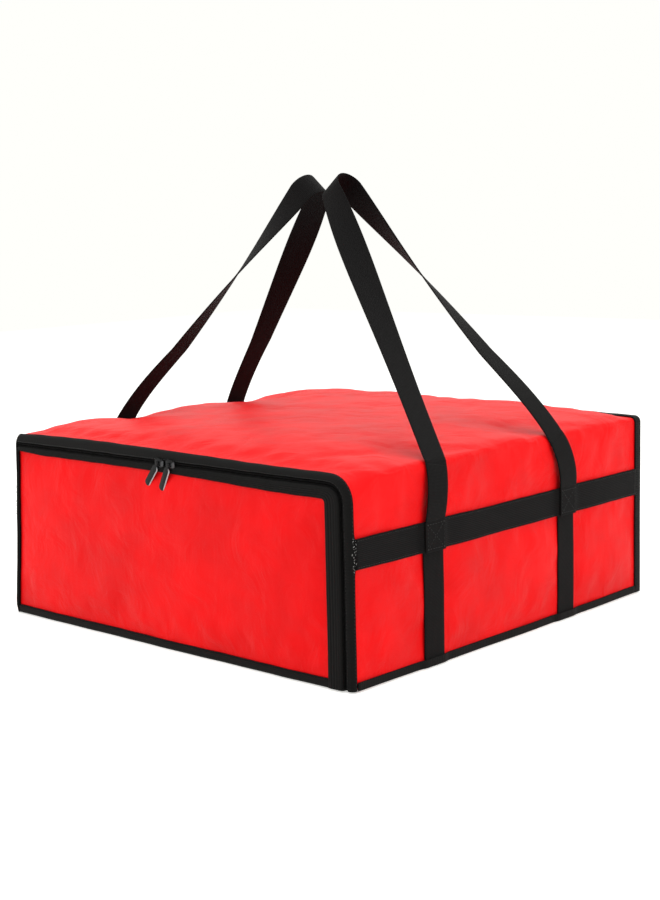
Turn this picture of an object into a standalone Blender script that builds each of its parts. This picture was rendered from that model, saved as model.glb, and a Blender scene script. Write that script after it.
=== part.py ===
"""Insulated pizza delivery bag: padded walls, a zip flap in front and two webbing handles.

Metres. X is the width, -Y the front with its flap, +Z up from the face that the bag stands on.
"""
import math

import bmesh
import bpy
from mathutils import Matrix, Vector

# The bag
BAG_WIDTH = 0.500
BAG_DEPTH = 0.500
BAG_HEIGHT = 0.205
EDGE_RADIUS = 0.012
MOUTH_RADIUS = 0.026

# Layers of a wall, from outside to inside, and the clearance between any two
FABRIC = 0.001
FOAM = 0.005
FOIL = 0.0006
TRIM = 0.001
GAP = 0.0003

# Bindings
MOUTH_BINDING = 0.0072
MOUTH_BINDING_ROUND_SHARE = 0.8
BACK_BINDING = 0.011
FOOT_BINDING = 0.009
FLOOR_CLEARANCE = 0.0005

# Zip between the mouth binding and the flap
COIL_WIDTH = 0.0023
COIL_DEPTH = 0.003
COIL_SETBACK = 0.0005
COIL_BEVEL_SHARE = 0.3

# Flap
FLAP_BORDER = 0.0165
FLAP_FOOT_BORDER = 0.009

# Webbing on the sides
WEBBING_WIDTH = 0.030
WEBBING_THICKNESS = 0.0015
BAND_HEIGHT = 0.131
FRONT_STRAP_SETBACKS = {"left": 0.152, "right": 0.120}
REAR_STRAP_SETBACKS = {"left": 0.137, "right": 0.152}
BAND_STEP_SHARE = 1.0
BAND_RAMP_SHARE = 2.0

# Handles: a riser from the band to the fold at the top edge, and a loop above it
FOLD_CLEARANCE = 0.0025
FOLD_DIRECTION = math.radians(48)
FOLD_LEAN = math.radians(30)
RISER_BULGE = 0.0065
RISER_START_SHARE = 0.33
RISER_END_SHARE = 0.26
RISER_LEANS = {"front": 0.009, "rear": 0.020}
LOOP_CROWN_RADIUS = 0.018
LOOP_CROWN_YS = {"left": 0.005, "right": -0.004}
LOOP_CROWN_OUTS = {"left": 0.016, "right": 0.021}
LOOP_CROWN_RISE = 0.271
LOOP_TWIST_POWER_SHARE = 2.4
LOOP_FOOT_BLEND = 0.045

# Sliders and pull tabs
SLIDER_LENGTH = 0.013
SLIDER_WIDTH = 0.011
SLIDER_THICKNESS = 0.0018
SLIDER_CORNER_SHARE = 0.3
SLIDER_PLACES = {"left": -0.0055, "right": 0.0110}
STAPLE_LENGTH = 0.0064
STAPLE_BAR = 0.0012
STAPLE_POST = 0.0012
STAPLE_ROOT = 0.0005
PULL_SLANTS = {"left": math.radians(41), "right": math.radians(29)}
PULL_TILT = math.radians(4)
PULL_LENGTH = 0.0315
PULL_WIDTH = 0.0080
PULL_NECK_LENGTH = 0.0060
PULL_THICKNESS = 0.0014
PULL_EYE_RADIUS = 0.0011
PULL_EYE_WALL = 0.0008
PULL_SIDE_PLAY = 0.0003

# Facets and working values
ARC_STEPS = 8
ROUND_STEPS = 5
RISER_STEPS = 10
LEG_STEPS = 22
CROWN_STEPS = 12
EYE_SEGMENTS = 16
CORNER_SEGMENTS = 3
MIN_BEND = 0.0004
CUT_OVERRUN = 0.002
WELD_DISTANCE = 0.00003

# Places worked out from the sizes
FRONT = -BAG_DEPTH / 2
BACK = BAG_DEPTH / 2
FOAM_INSET = FABRIC + GAP
FOIL_INSET = FOAM_INSET + FOAM + GAP
ROOM_INSET = FOIL_INSET + FOIL
CHAIN_INSET = MOUTH_BINDING + GAP + COIL_WIDTH + GAP / 2
FLAP_INSET = CHAIN_INSET + GAP / 2 + COIL_WIDTH + GAP
FLAP_SKIN_FRONT = FRONT + TRIM + GAP
FLAP_FOAM_FRONT = FLAP_SKIN_FRONT + FABRIC + GAP
FLAP_FOIL_FRONT = FLAP_FOAM_FRONT + FOAM + GAP
FLAP_BACK = FLAP_FOIL_FRONT + FOIL
BODY_FRONT = FLAP_BACK + GAP
BAND_BOTTOM = BAND_HEIGHT - WEBBING_WIDTH / 2
BAND_TOP = BAND_HEIGHT + WEBBING_WIDTH / 2
SIDES = {"left": -1, "right": 1}
STRAP_PLACES = {name: {"front": FRONT + FRONT_STRAP_SETBACKS[name], "rear": BACK - REAR_STRAP_SETBACKS[name]}
                for name in SIDES}
STRAP_TURNS = {"front": 1, "rear": -1}


def clear_scene():
    """Remove what the scene holds."""
    for obj in list(bpy.data.objects):
        bpy.data.objects.remove(obj)


def make_material(name, colour, roughness, metallic=0.0):
    """One Principled material."""
    material = bpy.data.materials.new(name)
    material.use_nodes = True
    shader = material.node_tree.nodes["Principled BSDF"]
    shader.inputs["Base Color"].default_value = (*colour, 1.0)
    shader.inputs["Roughness"].default_value = roughness
    shader.inputs["Metallic"].default_value = metallic
    return material


def make_materials():
    """The bag's materials by name."""
    return {
        "red_fabric": make_material("red_fabric", (0.80, 0.014, 0.020), 0.45),
        "black_webbing": make_material("black_webbing", (0.017, 0.018, 0.017), 0.75),
        "black_binding": make_material("black_binding", (0.020, 0.021, 0.020), 0.65),
        "white_foam": make_material("white_foam", (0.82, 0.82, 0.80), 0.90),
        "silver_foil": make_material("silver_foil", (0.72, 0.73, 0.74), 0.30, 0.9),
        "zip_coil": make_material("zip_coil", (0.015, 0.015, 0.016), 0.50),
        "black_metal": make_material("black_metal", (0.030, 0.030, 0.032), 0.35, 0.7),
    }


def add_object(name, data, material):
    """Link one sub-part into the bag's collection with its material."""
    obj = bpy.data.objects.new(name, data)
    data.materials.append(material)
    BAG.objects.link(obj)
    return obj


def add_empty(name, place):
    """An empty on a joint's axis."""
    empty = bpy.data.objects.new(name, None)
    empty.location = place
    empty.empty_display_size = WEBBING_WIDTH
    BAG.objects.link(empty)
    return empty


def hang_on(obj, empty):
    """Parent a sub-part to the empty on its joint and keep its place."""
    obj.parent = empty
    obj.matrix_parent_inverse = Matrix.Translation(-empty.location)


def arc(centre, radius, start, end, steps):
    """Points along an arc, both ends included."""
    angles = [start + (end - start) * step / steps for step in range(steps + 1)]
    return [(centre[0] + radius * math.cos(a), centre[1] + radius * math.sin(a)) for a in angles]


def hoop(inset, foot, radius):
    """Upside-down U at an inset from the bag's outside, from its left foot to its right one."""
    half = BAG_WIDTH / 2 - inset
    top = BAG_HEIGHT - inset
    bend = max(radius - inset, MIN_BEND)
    left = arc((bend - half, top - bend), bend, math.pi, math.pi / 2, ARC_STEPS)
    right = arc((half - bend, top - bend), bend, math.pi / 2, 0, ARC_STEPS)
    return [(-half, foot)] + left + right + [(half, foot)]


def hoop_strip(outer_inset, inner_inset, foot, radius):
    """Outline of the layer between two hoops."""
    return hoop(outer_inset, foot, radius) + hoop(inner_inset, foot, radius)[::-1]


def clipped(outline, point, normal):
    """The part of a closed outline on the normal's side of a line."""
    kept = []
    for start, end in zip(outline, outline[1:] + outline[:1]):
        from_line = [(x - point[0]) * normal[0] + (z - point[1]) * normal[1] for x, z in (start, end)]
        if from_line[0] >= 0:
            kept.append(start)
        if from_line[0] * from_line[1] < 0:
            share = from_line[0] / (from_line[0] - from_line[1])
            kept.append(tuple(a + (b - a) * share for a, b in zip(start, end)))
    return kept


def plate(name, outlines, near, far, material):
    """Flat plate of XZ outlines between two places along Y; an inner outline is a hole."""
    curve = bpy.data.curves.new(name, "CURVE")
    curve.dimensions = "2D"
    curve.fill_mode = "BOTH"
    curve.extrude = (far - near) / 2
    for outline in outlines:
        spline = curve.splines.new("POLY")
        spline.points.add(len(outline) - 1)
        spline.use_cyclic_u = True
        for point, (x, z) in zip(spline.points, outline):
            point.co = (x, z, 0.0, 1.0)
    obj = add_object(name, curve, material)
    obj.location = (0.0, (near + far) / 2, 0.0)
    obj.rotation_euler = (math.pi / 2, 0.0, 0.0)
    return obj


def slab(name, spans, material):
    """Box between its low and high places along X, Y and Z."""
    mesh = bpy.data.meshes.new(name)
    box = bmesh.new()
    bmesh.ops.create_cube(box, size=1.0)
    bmesh.ops.scale(box, vec=[high - low for low, high in spans], verts=box.verts)
    box.to_mesh(mesh)
    box.free()
    obj = add_object(name, mesh, material)
    obj.location = [(low + high) / 2 for low, high in spans]
    return obj


def swept_hoop(name, section, foot, radius, material):
    """Sweep a closed section of (inset, y) points round the mouth, with both feet closed."""
    rows = [[(x, y, z) for x, z in hoop(inset, foot, radius)] for inset, y in section]
    sweep = bmesh.new()
    grid = [[sweep.verts.new(place) for place in row] for row in rows]
    for row, following in zip(grid, grid[1:] + grid[:1]):
        for step in range(len(row) - 1):
            sweep.faces.new((row[step], row[step + 1], following[step + 1], following[step]))
    for end in (0, -1):
        sweep.faces.new([row[end] for row in grid])
    bmesh.ops.recalc_face_normals(sweep, faces=sweep.faces)
    mesh = bpy.data.meshes.new(name)
    sweep.to_mesh(mesh)
    sweep.free()
    return add_object(name, mesh, material)


def ribbon(name, middles, halves, thickness, material):
    """Strip through its middle points with a half-width vector at each, thickened both ways."""
    strip = bmesh.new()
    edges = [(strip.verts.new(m - h), strip.verts.new(m + h)) for m, h in zip(middles, halves)]
    for (low, high), (next_low, next_high) in zip(edges, edges[1:]):
        strip.faces.new((low, high, next_high, next_low))
    mesh = bpy.data.meshes.new(name)
    strip.to_mesh(mesh)
    strip.free()
    obj = add_object(name, mesh, material)
    shell = obj.modifiers.new("thickness", "SOLIDIFY")
    shell.thickness = thickness
    shell.offset = 0.0
    shell.use_even_offset = True
    return obj


def web_out(level):
    """Distance from the middle plane to the middle of the webbing at a layer, 1 next the wall."""
    return BAG_WIDTH / 2 + level * (GAP + WEBBING_THICKNESS) - WEBBING_THICKNESS / 2


def make_walls(materials):
    """Outer fabric, foam boards and foil lining of the body."""
    red, foam, foil = (materials[key] for key in ("red_fabric", "white_foam", "silver_foil"))
    half = BAG_WIDTH / 2
    foot = FABRIC + GAP
    back_foam = BACK - FOAM_INSET - FOAM

    plate("outer_wrap", [hoop_strip(0, FABRIC, foot, EDGE_RADIUS)], BODY_FRONT, BACK - FOAM_INSET, red)
    plate("outer_back", [hoop(0, foot, EDGE_RADIUS)], BACK - FABRIC, BACK, red)
    slab("outer_base", [(-half, half), (BODY_FRONT, BACK), (0, FABRIC)], red)

    board_foot = FOIL_INSET
    boards = hoop_strip(FOAM_INSET, FOAM_INSET + FOAM, board_foot, EDGE_RADIUS)
    corners = {name: (side * (half - EDGE_RADIUS), BAG_HEIGHT - EDGE_RADIUS) for name, side in SIDES.items()}
    top_board = boards
    for name, side in SIDES.items():
        corner_x, corner_z = corners[name]
        top_board = clipped(top_board, (corner_x - side * GAP / 2, corner_z + GAP / 2), (-side, 1))
        board = clipped(boards, (corner_x + side * GAP / 2, corner_z - GAP / 2), (side, -1))
        plate(f"foam_{name}", [board], BODY_FRONT, BACK - FOAM_INSET, foam)
    plate("foam_top", [top_board], BODY_FRONT, BACK - FOAM_INSET, foam)
    board_half = half - FOAM_INSET
    slab("foam_base", [(-board_half, board_half), (BODY_FRONT, BACK - FOAM_INSET),
                       (FOAM_INSET, FOAM_INSET + FOAM)], foam)
    plate("foam_back", [hoop(FOIL_INSET, board_foot, EDGE_RADIUS)], back_foam, BACK - FOAM_INSET, foam)

    plate("foil_wrap", [hoop_strip(FOIL_INSET, ROOM_INSET, board_foot, EDGE_RADIUS)],
          BODY_FRONT, back_foam - GAP, foil)
    room_half = half - ROOM_INSET - GAP
    slab("foil_base", [(-room_half, room_half), (BODY_FRONT, back_foam - GAP),
                       (board_foot, board_foot + FOIL)], foil)
    plate("foil_back", [hoop(ROOM_INSET + GAP, board_foot + FOIL + GAP, EDGE_RADIUS)],
          back_foam - GAP - FOIL, back_foam - GAP, foil)


def make_bindings(materials):
    """Tape round the mouth and the back, and along the foot of both sides."""
    tape = materials["black_binding"]
    bend = MOUTH_BINDING * MOUTH_BINDING_ROUND_SHARE
    section = [(MOUTH_BINDING, FLAP_BACK), (0, FLAP_BACK)]
    section += arc((bend, FRONT + bend), bend, math.pi, math.pi * 1.5, ROUND_STEPS)
    section += [(MOUTH_BINDING, FRONT)]
    swept_hoop("mouth_binding", section, FLOOR_CLEARANCE, MOUTH_RADIUS, tape)

    tape_out = -(GAP + TRIM)
    back_section = [(-GAP, BACK - BACK_BINDING), (tape_out, BACK - BACK_BINDING),
                    (tape_out, BACK + GAP + TRIM), (BACK_BINDING, BACK + GAP + TRIM),
                    (BACK_BINDING, BACK + GAP), (-GAP, BACK + GAP)]
    binding = swept_hoop("back_binding", back_section, FLOOR_CLEARANCE, EDGE_RADIUS, tape)
    cross_half = BAG_WIDTH / 2 - BACK_BINDING + CUT_OVERRUN
    foot_tape = slab("back_binding_foot", [(-cross_half, cross_half), (BACK + GAP, BACK + GAP + TRIM),
                                           (FLOOR_CLEARANCE, FLOOR_CLEARANCE + BACK_BINDING)], tape)
    join(binding, foot_tape)

    for name, side in SIDES.items():
        path = over_straps(name, FRONT + TRIM, BACK - BACK_BINDING - GAP, GAP + TRIM / 2,
                           GAP + WEBBING_THICKNESS + GAP + TRIM / 2)
        wall_strip(f"{name}_foot_binding", side, path, FLOOR_CLEARANCE, FOOT_BINDING, TRIM, tape)


def join(obj, other):
    """Union another solid into one and take the other out of the model."""
    union = obj.modifiers.new("union", "BOOLEAN")
    union.operation = "UNION"
    union.solver = "EXACT"
    union.object = other
    set_aside(other)


def cut(obj, cutter):
    """Cut one solid with another."""
    difference = obj.modifiers.new("cut", "BOOLEAN")
    difference.operation = "DIFFERENCE"
    difference.solver = "EXACT"
    difference.object = cutter
    set_aside(cutter)


def set_aside(obj):
    """Move a cutter or a joined solid to the cutters' collection."""
    BAG.objects.unlink(obj)
    CUTTERS.objects.link(obj)
    obj.hide_render = True
    obj.display_type = "WIRE"


def over_straps(name, start, end, low, high):
    """Plan path of (y, distance out) points along a side, raised where it crosses a strap."""
    flat = WEBBING_WIDTH / 2 + WEBBING_THICKNESS * BAND_STEP_SHARE
    ramp = WEBBING_THICKNESS * BAND_RAMP_SHARE
    path = [(start, low)]
    for middle in STRAP_PLACES[name].values():
        path += [(middle - flat - ramp, low), (middle - flat, high)]
        path += [(middle + flat, high), (middle + flat + ramp, low)]
    return path + [(end, low)]


def wall_strip(name, side, path, bottom, top, thickness, material):
    """Upright strip along a side wall."""
    middles = [Vector((side * (BAG_WIDTH / 2 + out), y, (bottom + top) / 2)) for y, out in path]
    halves = [Vector((0, 0, (top - bottom) / 2))] * len(middles)
    return ribbon(name, middles, halves, thickness, material)


def make_side_webbing(materials):
    """On each side two lower straps, the band across them and the sewn ends of the handle."""
    webbing = materials["black_webbing"]
    width = Vector((0, WEBBING_WIDTH / 2, 0))
    low = web_out(1) - BAG_WIDTH / 2
    high = web_out(2) - BAG_WIDTH / 2
    for name, side in SIDES.items():
        path = over_straps(name, BODY_FRONT + GAP, BACK - BACK_BINDING - GAP, low, high)
        wall_strip(f"{name}_band", side, path, BAND_BOTTOM, BAND_TOP, WEBBING_THICKNESS, webbing)
        for place, y in STRAP_PLACES[name].items():
            under = [Vector((side * web_out(1), y, z)) for z in (FLOOR_CLEARANCE, BAND_TOP)]
            ribbon(f"{name}_{place}_strap", under, [width] * 2, WEBBING_THICKNESS, webbing)
            sewn = [Vector((side * web_out(3), y, z)) for z in (BAND_BOTTOM, BAND_TOP)]
            ribbon(f"{name}_{place}_handle_end", sewn, [width] * 2, WEBBING_THICKNESS, webbing)


def make_zip(materials):
    """Coil halves on the mouth and on the flap."""
    coil = materials["zip_coil"]
    near = FRONT + COIL_SETBACK
    far = near + COIL_DEPTH
    bevel = COIL_WIDTH * COIL_BEVEL_SHARE
    halves = []
    for name, outer in (("zip_coil_mouth", MOUTH_BINDING + GAP), ("zip_coil_flap", CHAIN_INSET + GAP / 2)):
        inner = outer + COIL_WIDTH
        section = [(inner, far), (outer, far), (outer, near + bevel), (outer + bevel, near),
                   (inner - bevel, near), (inner, near + bevel)]
        halves.append(swept_hoop(name, section, FLOOR_CLEARANCE, MOUTH_RADIUS, coil))
    return halves[1]


def make_flap(materials):
    """Front flap, hinged along the foot of the mouth: border, fabric, foam and foil."""
    hinge = add_empty("flap_hinge_axis", (0, FRONT, 0))
    face = hoop(FLAP_INSET, FLOOR_CLEARANCE, MOUTH_RADIUS)
    window = hoop(FLAP_INSET + FLAP_BORDER, FLAP_FOOT_BORDER, MOUTH_RADIUS)
    layers = [
        plate("flap_border", [face, window], FRONT, FRONT + TRIM, materials["black_binding"]),
        plate("flap_fabric", [face], FLAP_SKIN_FRONT, FLAP_SKIN_FRONT + FABRIC, materials["red_fabric"]),
        plate("flap_foam", [face], FLAP_FOAM_FRONT, FLAP_FOAM_FRONT + FOAM, materials["white_foam"]),
        plate("flap_foil", [face], FLAP_FOIL_FRONT, FLAP_BACK, materials["silver_foil"]),
    ]
    return hinge, layers


def rounded_box(name, spans, share, material):
    """Box with its corners rounded by a share of its smaller face side."""
    obj = slab(name, spans, material)
    sizes = [high - low for low, high in spans]
    bevel = obj.modifiers.new("corners", "BEVEL")
    bevel.width = min(sizes[0], sizes[2]) * share
    bevel.segments = CORNER_SEGMENTS
    bevel.limit_method = "WEIGHT"
    weights = obj.data.attributes.new("bevel_weight_edge", "FLOAT", "EDGE")
    for edge in obj.data.edges:
        start, end = (obj.data.vertices[index].co for index in edge.vertices)
        weights.data[edge.index].value = 1.0 if abs(start.y - end.y) > GAP else 0.0
    return obj


def make_slider(name, materials):
    """Slider on the closed chain, with the staple that holds its pull tab."""
    metal = materials["black_metal"]
    x = SLIDER_PLACES[name]
    z = BAG_HEIGHT - CHAIN_INSET
    back = FRONT - GAP
    front = back - SLIDER_THICKNESS
    eye = PULL_EYE_RADIUS + PULL_EYE_WALL
    bar_y = front - GAP - eye
    half_length = SLIDER_LENGTH / 2
    half_width = SLIDER_WIDTH / 2
    body = rounded_box(f"{name}_slider", [(x - half_length, x + half_length), (front, back),
                                          (z - half_width, z + half_width)], SLIDER_CORNER_SHARE, metal)
    turn = Matrix.Translation((x, 0, z)) @ Matrix.Rotation(PULL_SLANTS[name], 4, "Y")
    arch = [(-STAPLE_LENGTH / 2, STAPLE_LENGTH / 2), (bar_y - STAPLE_BAR / 2, front + STAPLE_ROOT),
            (-STAPLE_BAR / 2, STAPLE_BAR / 2)]
    staple = slab(f"{name}_slider_staple", arch, metal)
    staple.matrix_world = turn @ Matrix.Translation(staple.location)
    inner = STAPLE_LENGTH / 2 - STAPLE_POST
    window = slab(f"{name}_slider_window", [(-inner, inner), (bar_y + STAPLE_BAR / 2, front),
                                            (-STAPLE_BAR, STAPLE_BAR)], metal)
    window.matrix_world = turn @ Matrix.Translation(window.location)
    cut(staple, window)
    join(body, staple)
    return body, Vector((x, bar_y, z))


def make_pull_tab(name, pivot, materials):
    """Pull tab whose eye goes round the staple's bar, slanting the way it hangs."""
    metal = materials["black_metal"]
    eye = PULL_EYE_RADIUS + PULL_EYE_WALL
    eye_half = STAPLE_LENGTH / 2 - STAPLE_POST - PULL_SIDE_PLAY
    half = PULL_WIDTH / 2
    tip = -PULL_LENGTH
    outline = [(eye_half, 0), (eye_half, -PULL_NECK_LENGTH + half - eye_half)]
    outline += [(half, -PULL_NECK_LENGTH)]
    outline += arc((0, tip + half), half, 0, -math.pi, ARC_STEPS * 2)
    outline += [(-half, -PULL_NECK_LENGTH)]
    outline += [(-eye_half, -PULL_NECK_LENGTH + half - eye_half), (-eye_half, 0)]
    turn = Matrix.Translation(pivot) @ Matrix.Rotation(PULL_SLANTS[name], 4, "Y")
    turn = turn @ Matrix.Rotation(PULL_TILT, 4, "X")
    tab = as_mesh(plate(f"{name}_pull_tab", [outline], -PULL_THICKNESS / 2, PULL_THICKNESS / 2, metal))
    knuckle = cylinder(f"{name}_pull_knuckle", eye, eye_half * 2, metal)
    bore = cylinder(f"{name}_pull_bore", PULL_EYE_RADIUS, eye_half * 2 + CUT_OVERRUN, metal)
    for piece in (tab, knuckle, bore):
        piece.matrix_world = turn @ piece.matrix_world
    join(tab, knuckle)
    cut(tab, bore)
    return tab


def as_mesh(curve_object):
    """Turn a filled curve into a mesh object with its caps welded and its place in the mesh."""
    bpy.context.view_layer.update()
    evaluated = curve_object.evaluated_get(bpy.context.evaluated_depsgraph_get())
    mesh = bpy.data.meshes.new_from_object(evaluated)
    weld = bmesh.new()
    weld.from_mesh(mesh)
    bmesh.ops.remove_doubles(weld, verts=weld.verts, dist=WELD_DISTANCE)
    weld.to_mesh(mesh)
    weld.free()
    mesh.transform(curve_object.matrix_world)
    name = curve_object.name
    bpy.data.objects.remove(curve_object)
    obj = bpy.data.objects.new(name, mesh)
    BAG.objects.link(obj)
    return obj


def cylinder(name, radius, length, material):
    """Cylinder along X about the origin."""
    mesh = bpy.data.meshes.new(name)
    turned = bmesh.new()
    bmesh.ops.create_cone(turned, cap_ends=True, segments=EYE_SEGMENTS, radius1=radius, radius2=radius,
                          depth=length, matrix=Matrix.Rotation(math.pi / 2, 4, "Y"))
    turned.to_mesh(mesh)
    turned.free()
    return add_object(name, mesh, material)


def fold_place():
    """Middle of the webbing where the riser ends, as (x, z) on the right side."""
    corner = Vector((BAG_WIDTH / 2 - EDGE_RADIUS, BAG_HEIGHT - EDGE_RADIUS))
    away = Vector((math.cos(FOLD_DIRECTION), math.sin(FOLD_DIRECTION)))
    inner = corner + away * (EDGE_RADIUS + FOLD_CLEARANCE)
    outward = Vector((math.cos(FOLD_LEAN), math.sin(FOLD_LEAN)))
    return inner, inner + outward * WEBBING_THICKNESS / 2


def riser_course():
    """Middle line of a riser as (x, z) points on the right side: a cubic curve that bulges out."""
    start = Vector((web_out(3), BAND_TOP + GAP))
    end = fold_place()[1]
    rise = end.y - start.y
    first = start + Vector((RISER_BULGE, rise * RISER_START_SHARE))
    last = end - Vector((-math.sin(FOLD_LEAN), math.cos(FOLD_LEAN))) * rise * RISER_END_SHARE
    course = []
    for step in range(RISER_STEPS + 1):
        t = step / RISER_STEPS
        weights = ((1 - t) ** 3, 3 * t * (1 - t) ** 2, 3 * t * t * (1 - t), t ** 3)
        course.append(sum((p * w for p, w in zip((start, first, last, end), weights)), Vector((0, 0))))
    return course


def make_risers(name, materials):
    """The two risers of one handle, parented to the line that they fold about."""
    side = SIDES[name]
    axis_x = side * (web_out(3) + WEBBING_THICKNESS / 2)
    hinge = add_empty(f"{name}_riser_axis", (axis_x, 0, BAND_TOP))
    course = riser_course()
    rise = course[-1].y - course[0].y
    width = Vector((0, WEBBING_WIDTH / 2, 0))
    for place, y in STRAP_PLACES[name].items():
        lean = STRAP_TURNS[place] * RISER_LEANS[place] / rise
        middles = [Vector((side * p.x, y + lean * (p.y - course[0].y), p.y)) for p in course]
        riser = ribbon(f"{name}_{place}_riser", middles, [width] * len(middles),
                       WEBBING_THICKNESS, materials["black_webbing"])
        hang_on(riser, hinge)
    return hinge


def loop_shape(name):
    """Lean of a loop from upright, and its reach from the fold to the top of its crown."""
    run = fold_place()[0].x - LOOP_CROWN_OUTS[name]
    return math.atan2(run, LOOP_CROWN_RISE), math.hypot(run, LOOP_CROWN_RISE)


def loop_leg(foot, crown, turn):
    """Heading, direction and length of a leg in the loop's plane, from its foot to the crown's arc."""
    way = crown - foot
    heading = math.atan2(way.y, way.x) + turn * math.asin(LOOP_CROWN_RADIUS / way.length)
    run = Vector((math.cos(heading), math.sin(heading)))
    length = math.sqrt(way.length ** 2 - LOOP_CROWN_RADIUS ** 2)
    return heading, run, length


def make_loop(name, riser_hinge, materials):
    """The handle's loop: flat at its feet, each leg turned a quarter up to the crown."""
    side = SIDES[name]
    lean, reach = loop_shape(name)
    inner, _ = fold_place()
    origin = Vector((side * inner.x, 0, inner.y))
    hinge = add_empty(f"{name}_loop_axis", origin - riser_hinge.location)
    hinge.parent = riser_hinge
    up = Vector((-side * math.sin(lean), 0, math.cos(lean)))
    outward = Vector((side * math.cos(lean), 0, math.sin(lean)))
    along = Vector((0, 1, 0))
    feet = {place: Vector((y + STRAP_TURNS[place] * RISER_LEANS[place], GAP))
            for place, y in STRAP_PLACES[name].items()}
    crown = Vector((LOOP_CROWN_YS[name], reach - LOOP_CROWN_RADIUS))
    stations = []
    bounds = {}
    for place, foot in feet.items():
        turn = STRAP_TURNS[place]
        heading, run, length = loop_leg(foot, crown, turn)
        bounds[place] = heading + turn * math.pi / 2
        leg = []
        for step in range(LEG_STEPS + 1):
            travel = length * step / LEG_STEPS
            twist = math.pi / 2 * (travel / length) ** LOOP_TWIST_POWER_SHARE
            square = min(travel / LOOP_FOOT_BLEND, 1.0)
            across = Vector((1, 0)).lerp(Vector((run.y, -run.x)), square).normalized()
            leg.append((foot + run * travel, across, twist, turn))
        stations.append(leg)
    arch = []
    for step in range(1, CROWN_STEPS):
        angle = bounds["front"] + (bounds["rear"] - bounds["front"]) * step / CROWN_STEPS
        away = Vector((math.cos(angle), math.sin(angle)))
        arch.append((crown + away * LOOP_CROWN_RADIUS, Vector((away.y, -away.x)), math.pi / 2, 1))
    course = stations[0] + arch + stations[1][::-1]
    middles = []
    halves = []
    for place, across, twist, turn in course:
        flat = along * across.x + up * across.y
        middles.append(origin + outward * WEBBING_THICKNESS / 2 + along * place.x + up * place.y)
        halves.append((flat * (math.cos(twist) * turn) + outward * math.sin(twist)) * WEBBING_WIDTH / 2)
    loop = ribbon(f"{name}_loop", middles, halves, WEBBING_THICKNESS, materials["black_webbing"])
    hang_on(loop, hinge)
    loop.matrix_parent_inverse = Matrix.Translation(-origin)
    return loop


def build():
    """Make every sub-part."""
    materials = make_materials()
    make_walls(materials)
    make_bindings(materials)
    make_side_webbing(materials)
    flap_coil = make_zip(materials)
    hinge, layers = make_flap(materials)
    for layer in layers + [flap_coil]:
        hang_on(layer, hinge)
    for name in SIDES:
        slider, pivot = make_slider(name, materials)
        tab = make_pull_tab(name, pivot, materials)
        hang_on(slider, hinge)
        hang_on(tab, hinge)
        riser_hinge = make_risers(name, materials)
        make_loop(name, riser_hinge, materials)


clear_scene()
BAG = bpy.data.collections.new("pizza_delivery_bag")
CUTTERS = bpy.data.collections.new("cutters")
bpy.context.scene.collection.children.link(BAG)
bpy.context.scene.collection.children.link(CUTTERS)
build()
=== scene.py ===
"""Soft square carrier with padded walls, a zip flap and two webbing handles, dressed round its frame."""

import math

import bmesh
import bpy
import numpy as np
from bpy.props import FloatProperty, FloatVectorProperty, IntProperty, PointerProperty
from bpy.types import Operator, Panel, PropertyGroup
from mathutils import Matrix, Vector, noise


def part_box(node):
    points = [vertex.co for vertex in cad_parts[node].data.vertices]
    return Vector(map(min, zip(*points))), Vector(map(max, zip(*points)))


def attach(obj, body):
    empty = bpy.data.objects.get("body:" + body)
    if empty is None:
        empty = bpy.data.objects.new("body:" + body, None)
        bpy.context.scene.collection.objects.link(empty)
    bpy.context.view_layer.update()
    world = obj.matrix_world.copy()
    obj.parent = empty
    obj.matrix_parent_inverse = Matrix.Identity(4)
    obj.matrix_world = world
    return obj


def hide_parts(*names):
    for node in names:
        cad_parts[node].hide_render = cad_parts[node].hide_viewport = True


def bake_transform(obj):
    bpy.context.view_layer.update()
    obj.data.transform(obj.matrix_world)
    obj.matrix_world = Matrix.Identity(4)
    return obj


bl_info = {
    "name": "Padded carrier",
    "version": (1, 0, 0),
    "blender": (4, 5, 0),
    "location": "View3D > Sidebar > Carrier",
    "description": "Builds a padded carrier with a zip flap and webbing handles",
    "category": "Add Mesh",
}

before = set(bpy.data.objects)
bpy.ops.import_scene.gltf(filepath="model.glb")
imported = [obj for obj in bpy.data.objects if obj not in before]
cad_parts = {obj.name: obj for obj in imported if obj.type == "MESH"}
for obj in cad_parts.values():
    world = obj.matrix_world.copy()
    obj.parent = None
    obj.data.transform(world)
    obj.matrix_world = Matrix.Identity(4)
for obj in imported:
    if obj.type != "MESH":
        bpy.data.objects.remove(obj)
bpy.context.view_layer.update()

# The frame's places, read from its nodes

def corners_of(node):
    """Low and high corner of a node's box."""
    return [Vector(corner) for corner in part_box(node)]


def middle_of(node):
    """Middle of a node's box."""
    low, high = corners_of(node)
    return (low + high) / 2


WRAP_LOW, WRAP_HIGH = corners_of("outer_wrap")
BAND_LOW, BAND_HIGH = corners_of("right_band")
FLAP_LOW, FLAP_HIGH = corners_of("flap_fabric")
HALF = WRAP_HIGH.x
HEIGHT = WRAP_HIGH.z
FRONT = corners_of("mouth_binding")[0].y
BACK = corners_of("outer_base")[1].y
BODY_FRONT = WRAP_LOW.y
SIDES = {"left": -1, "right": 1}
PLACES = ("front", "rear")
TOWARDS_MIDDLE = {"front": 1, "rear": -1}

STRAP_Y = {name: {place: middle_of(f"{name}_{place}_strap").y for place in PLACES} for name in SIDES}

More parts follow.
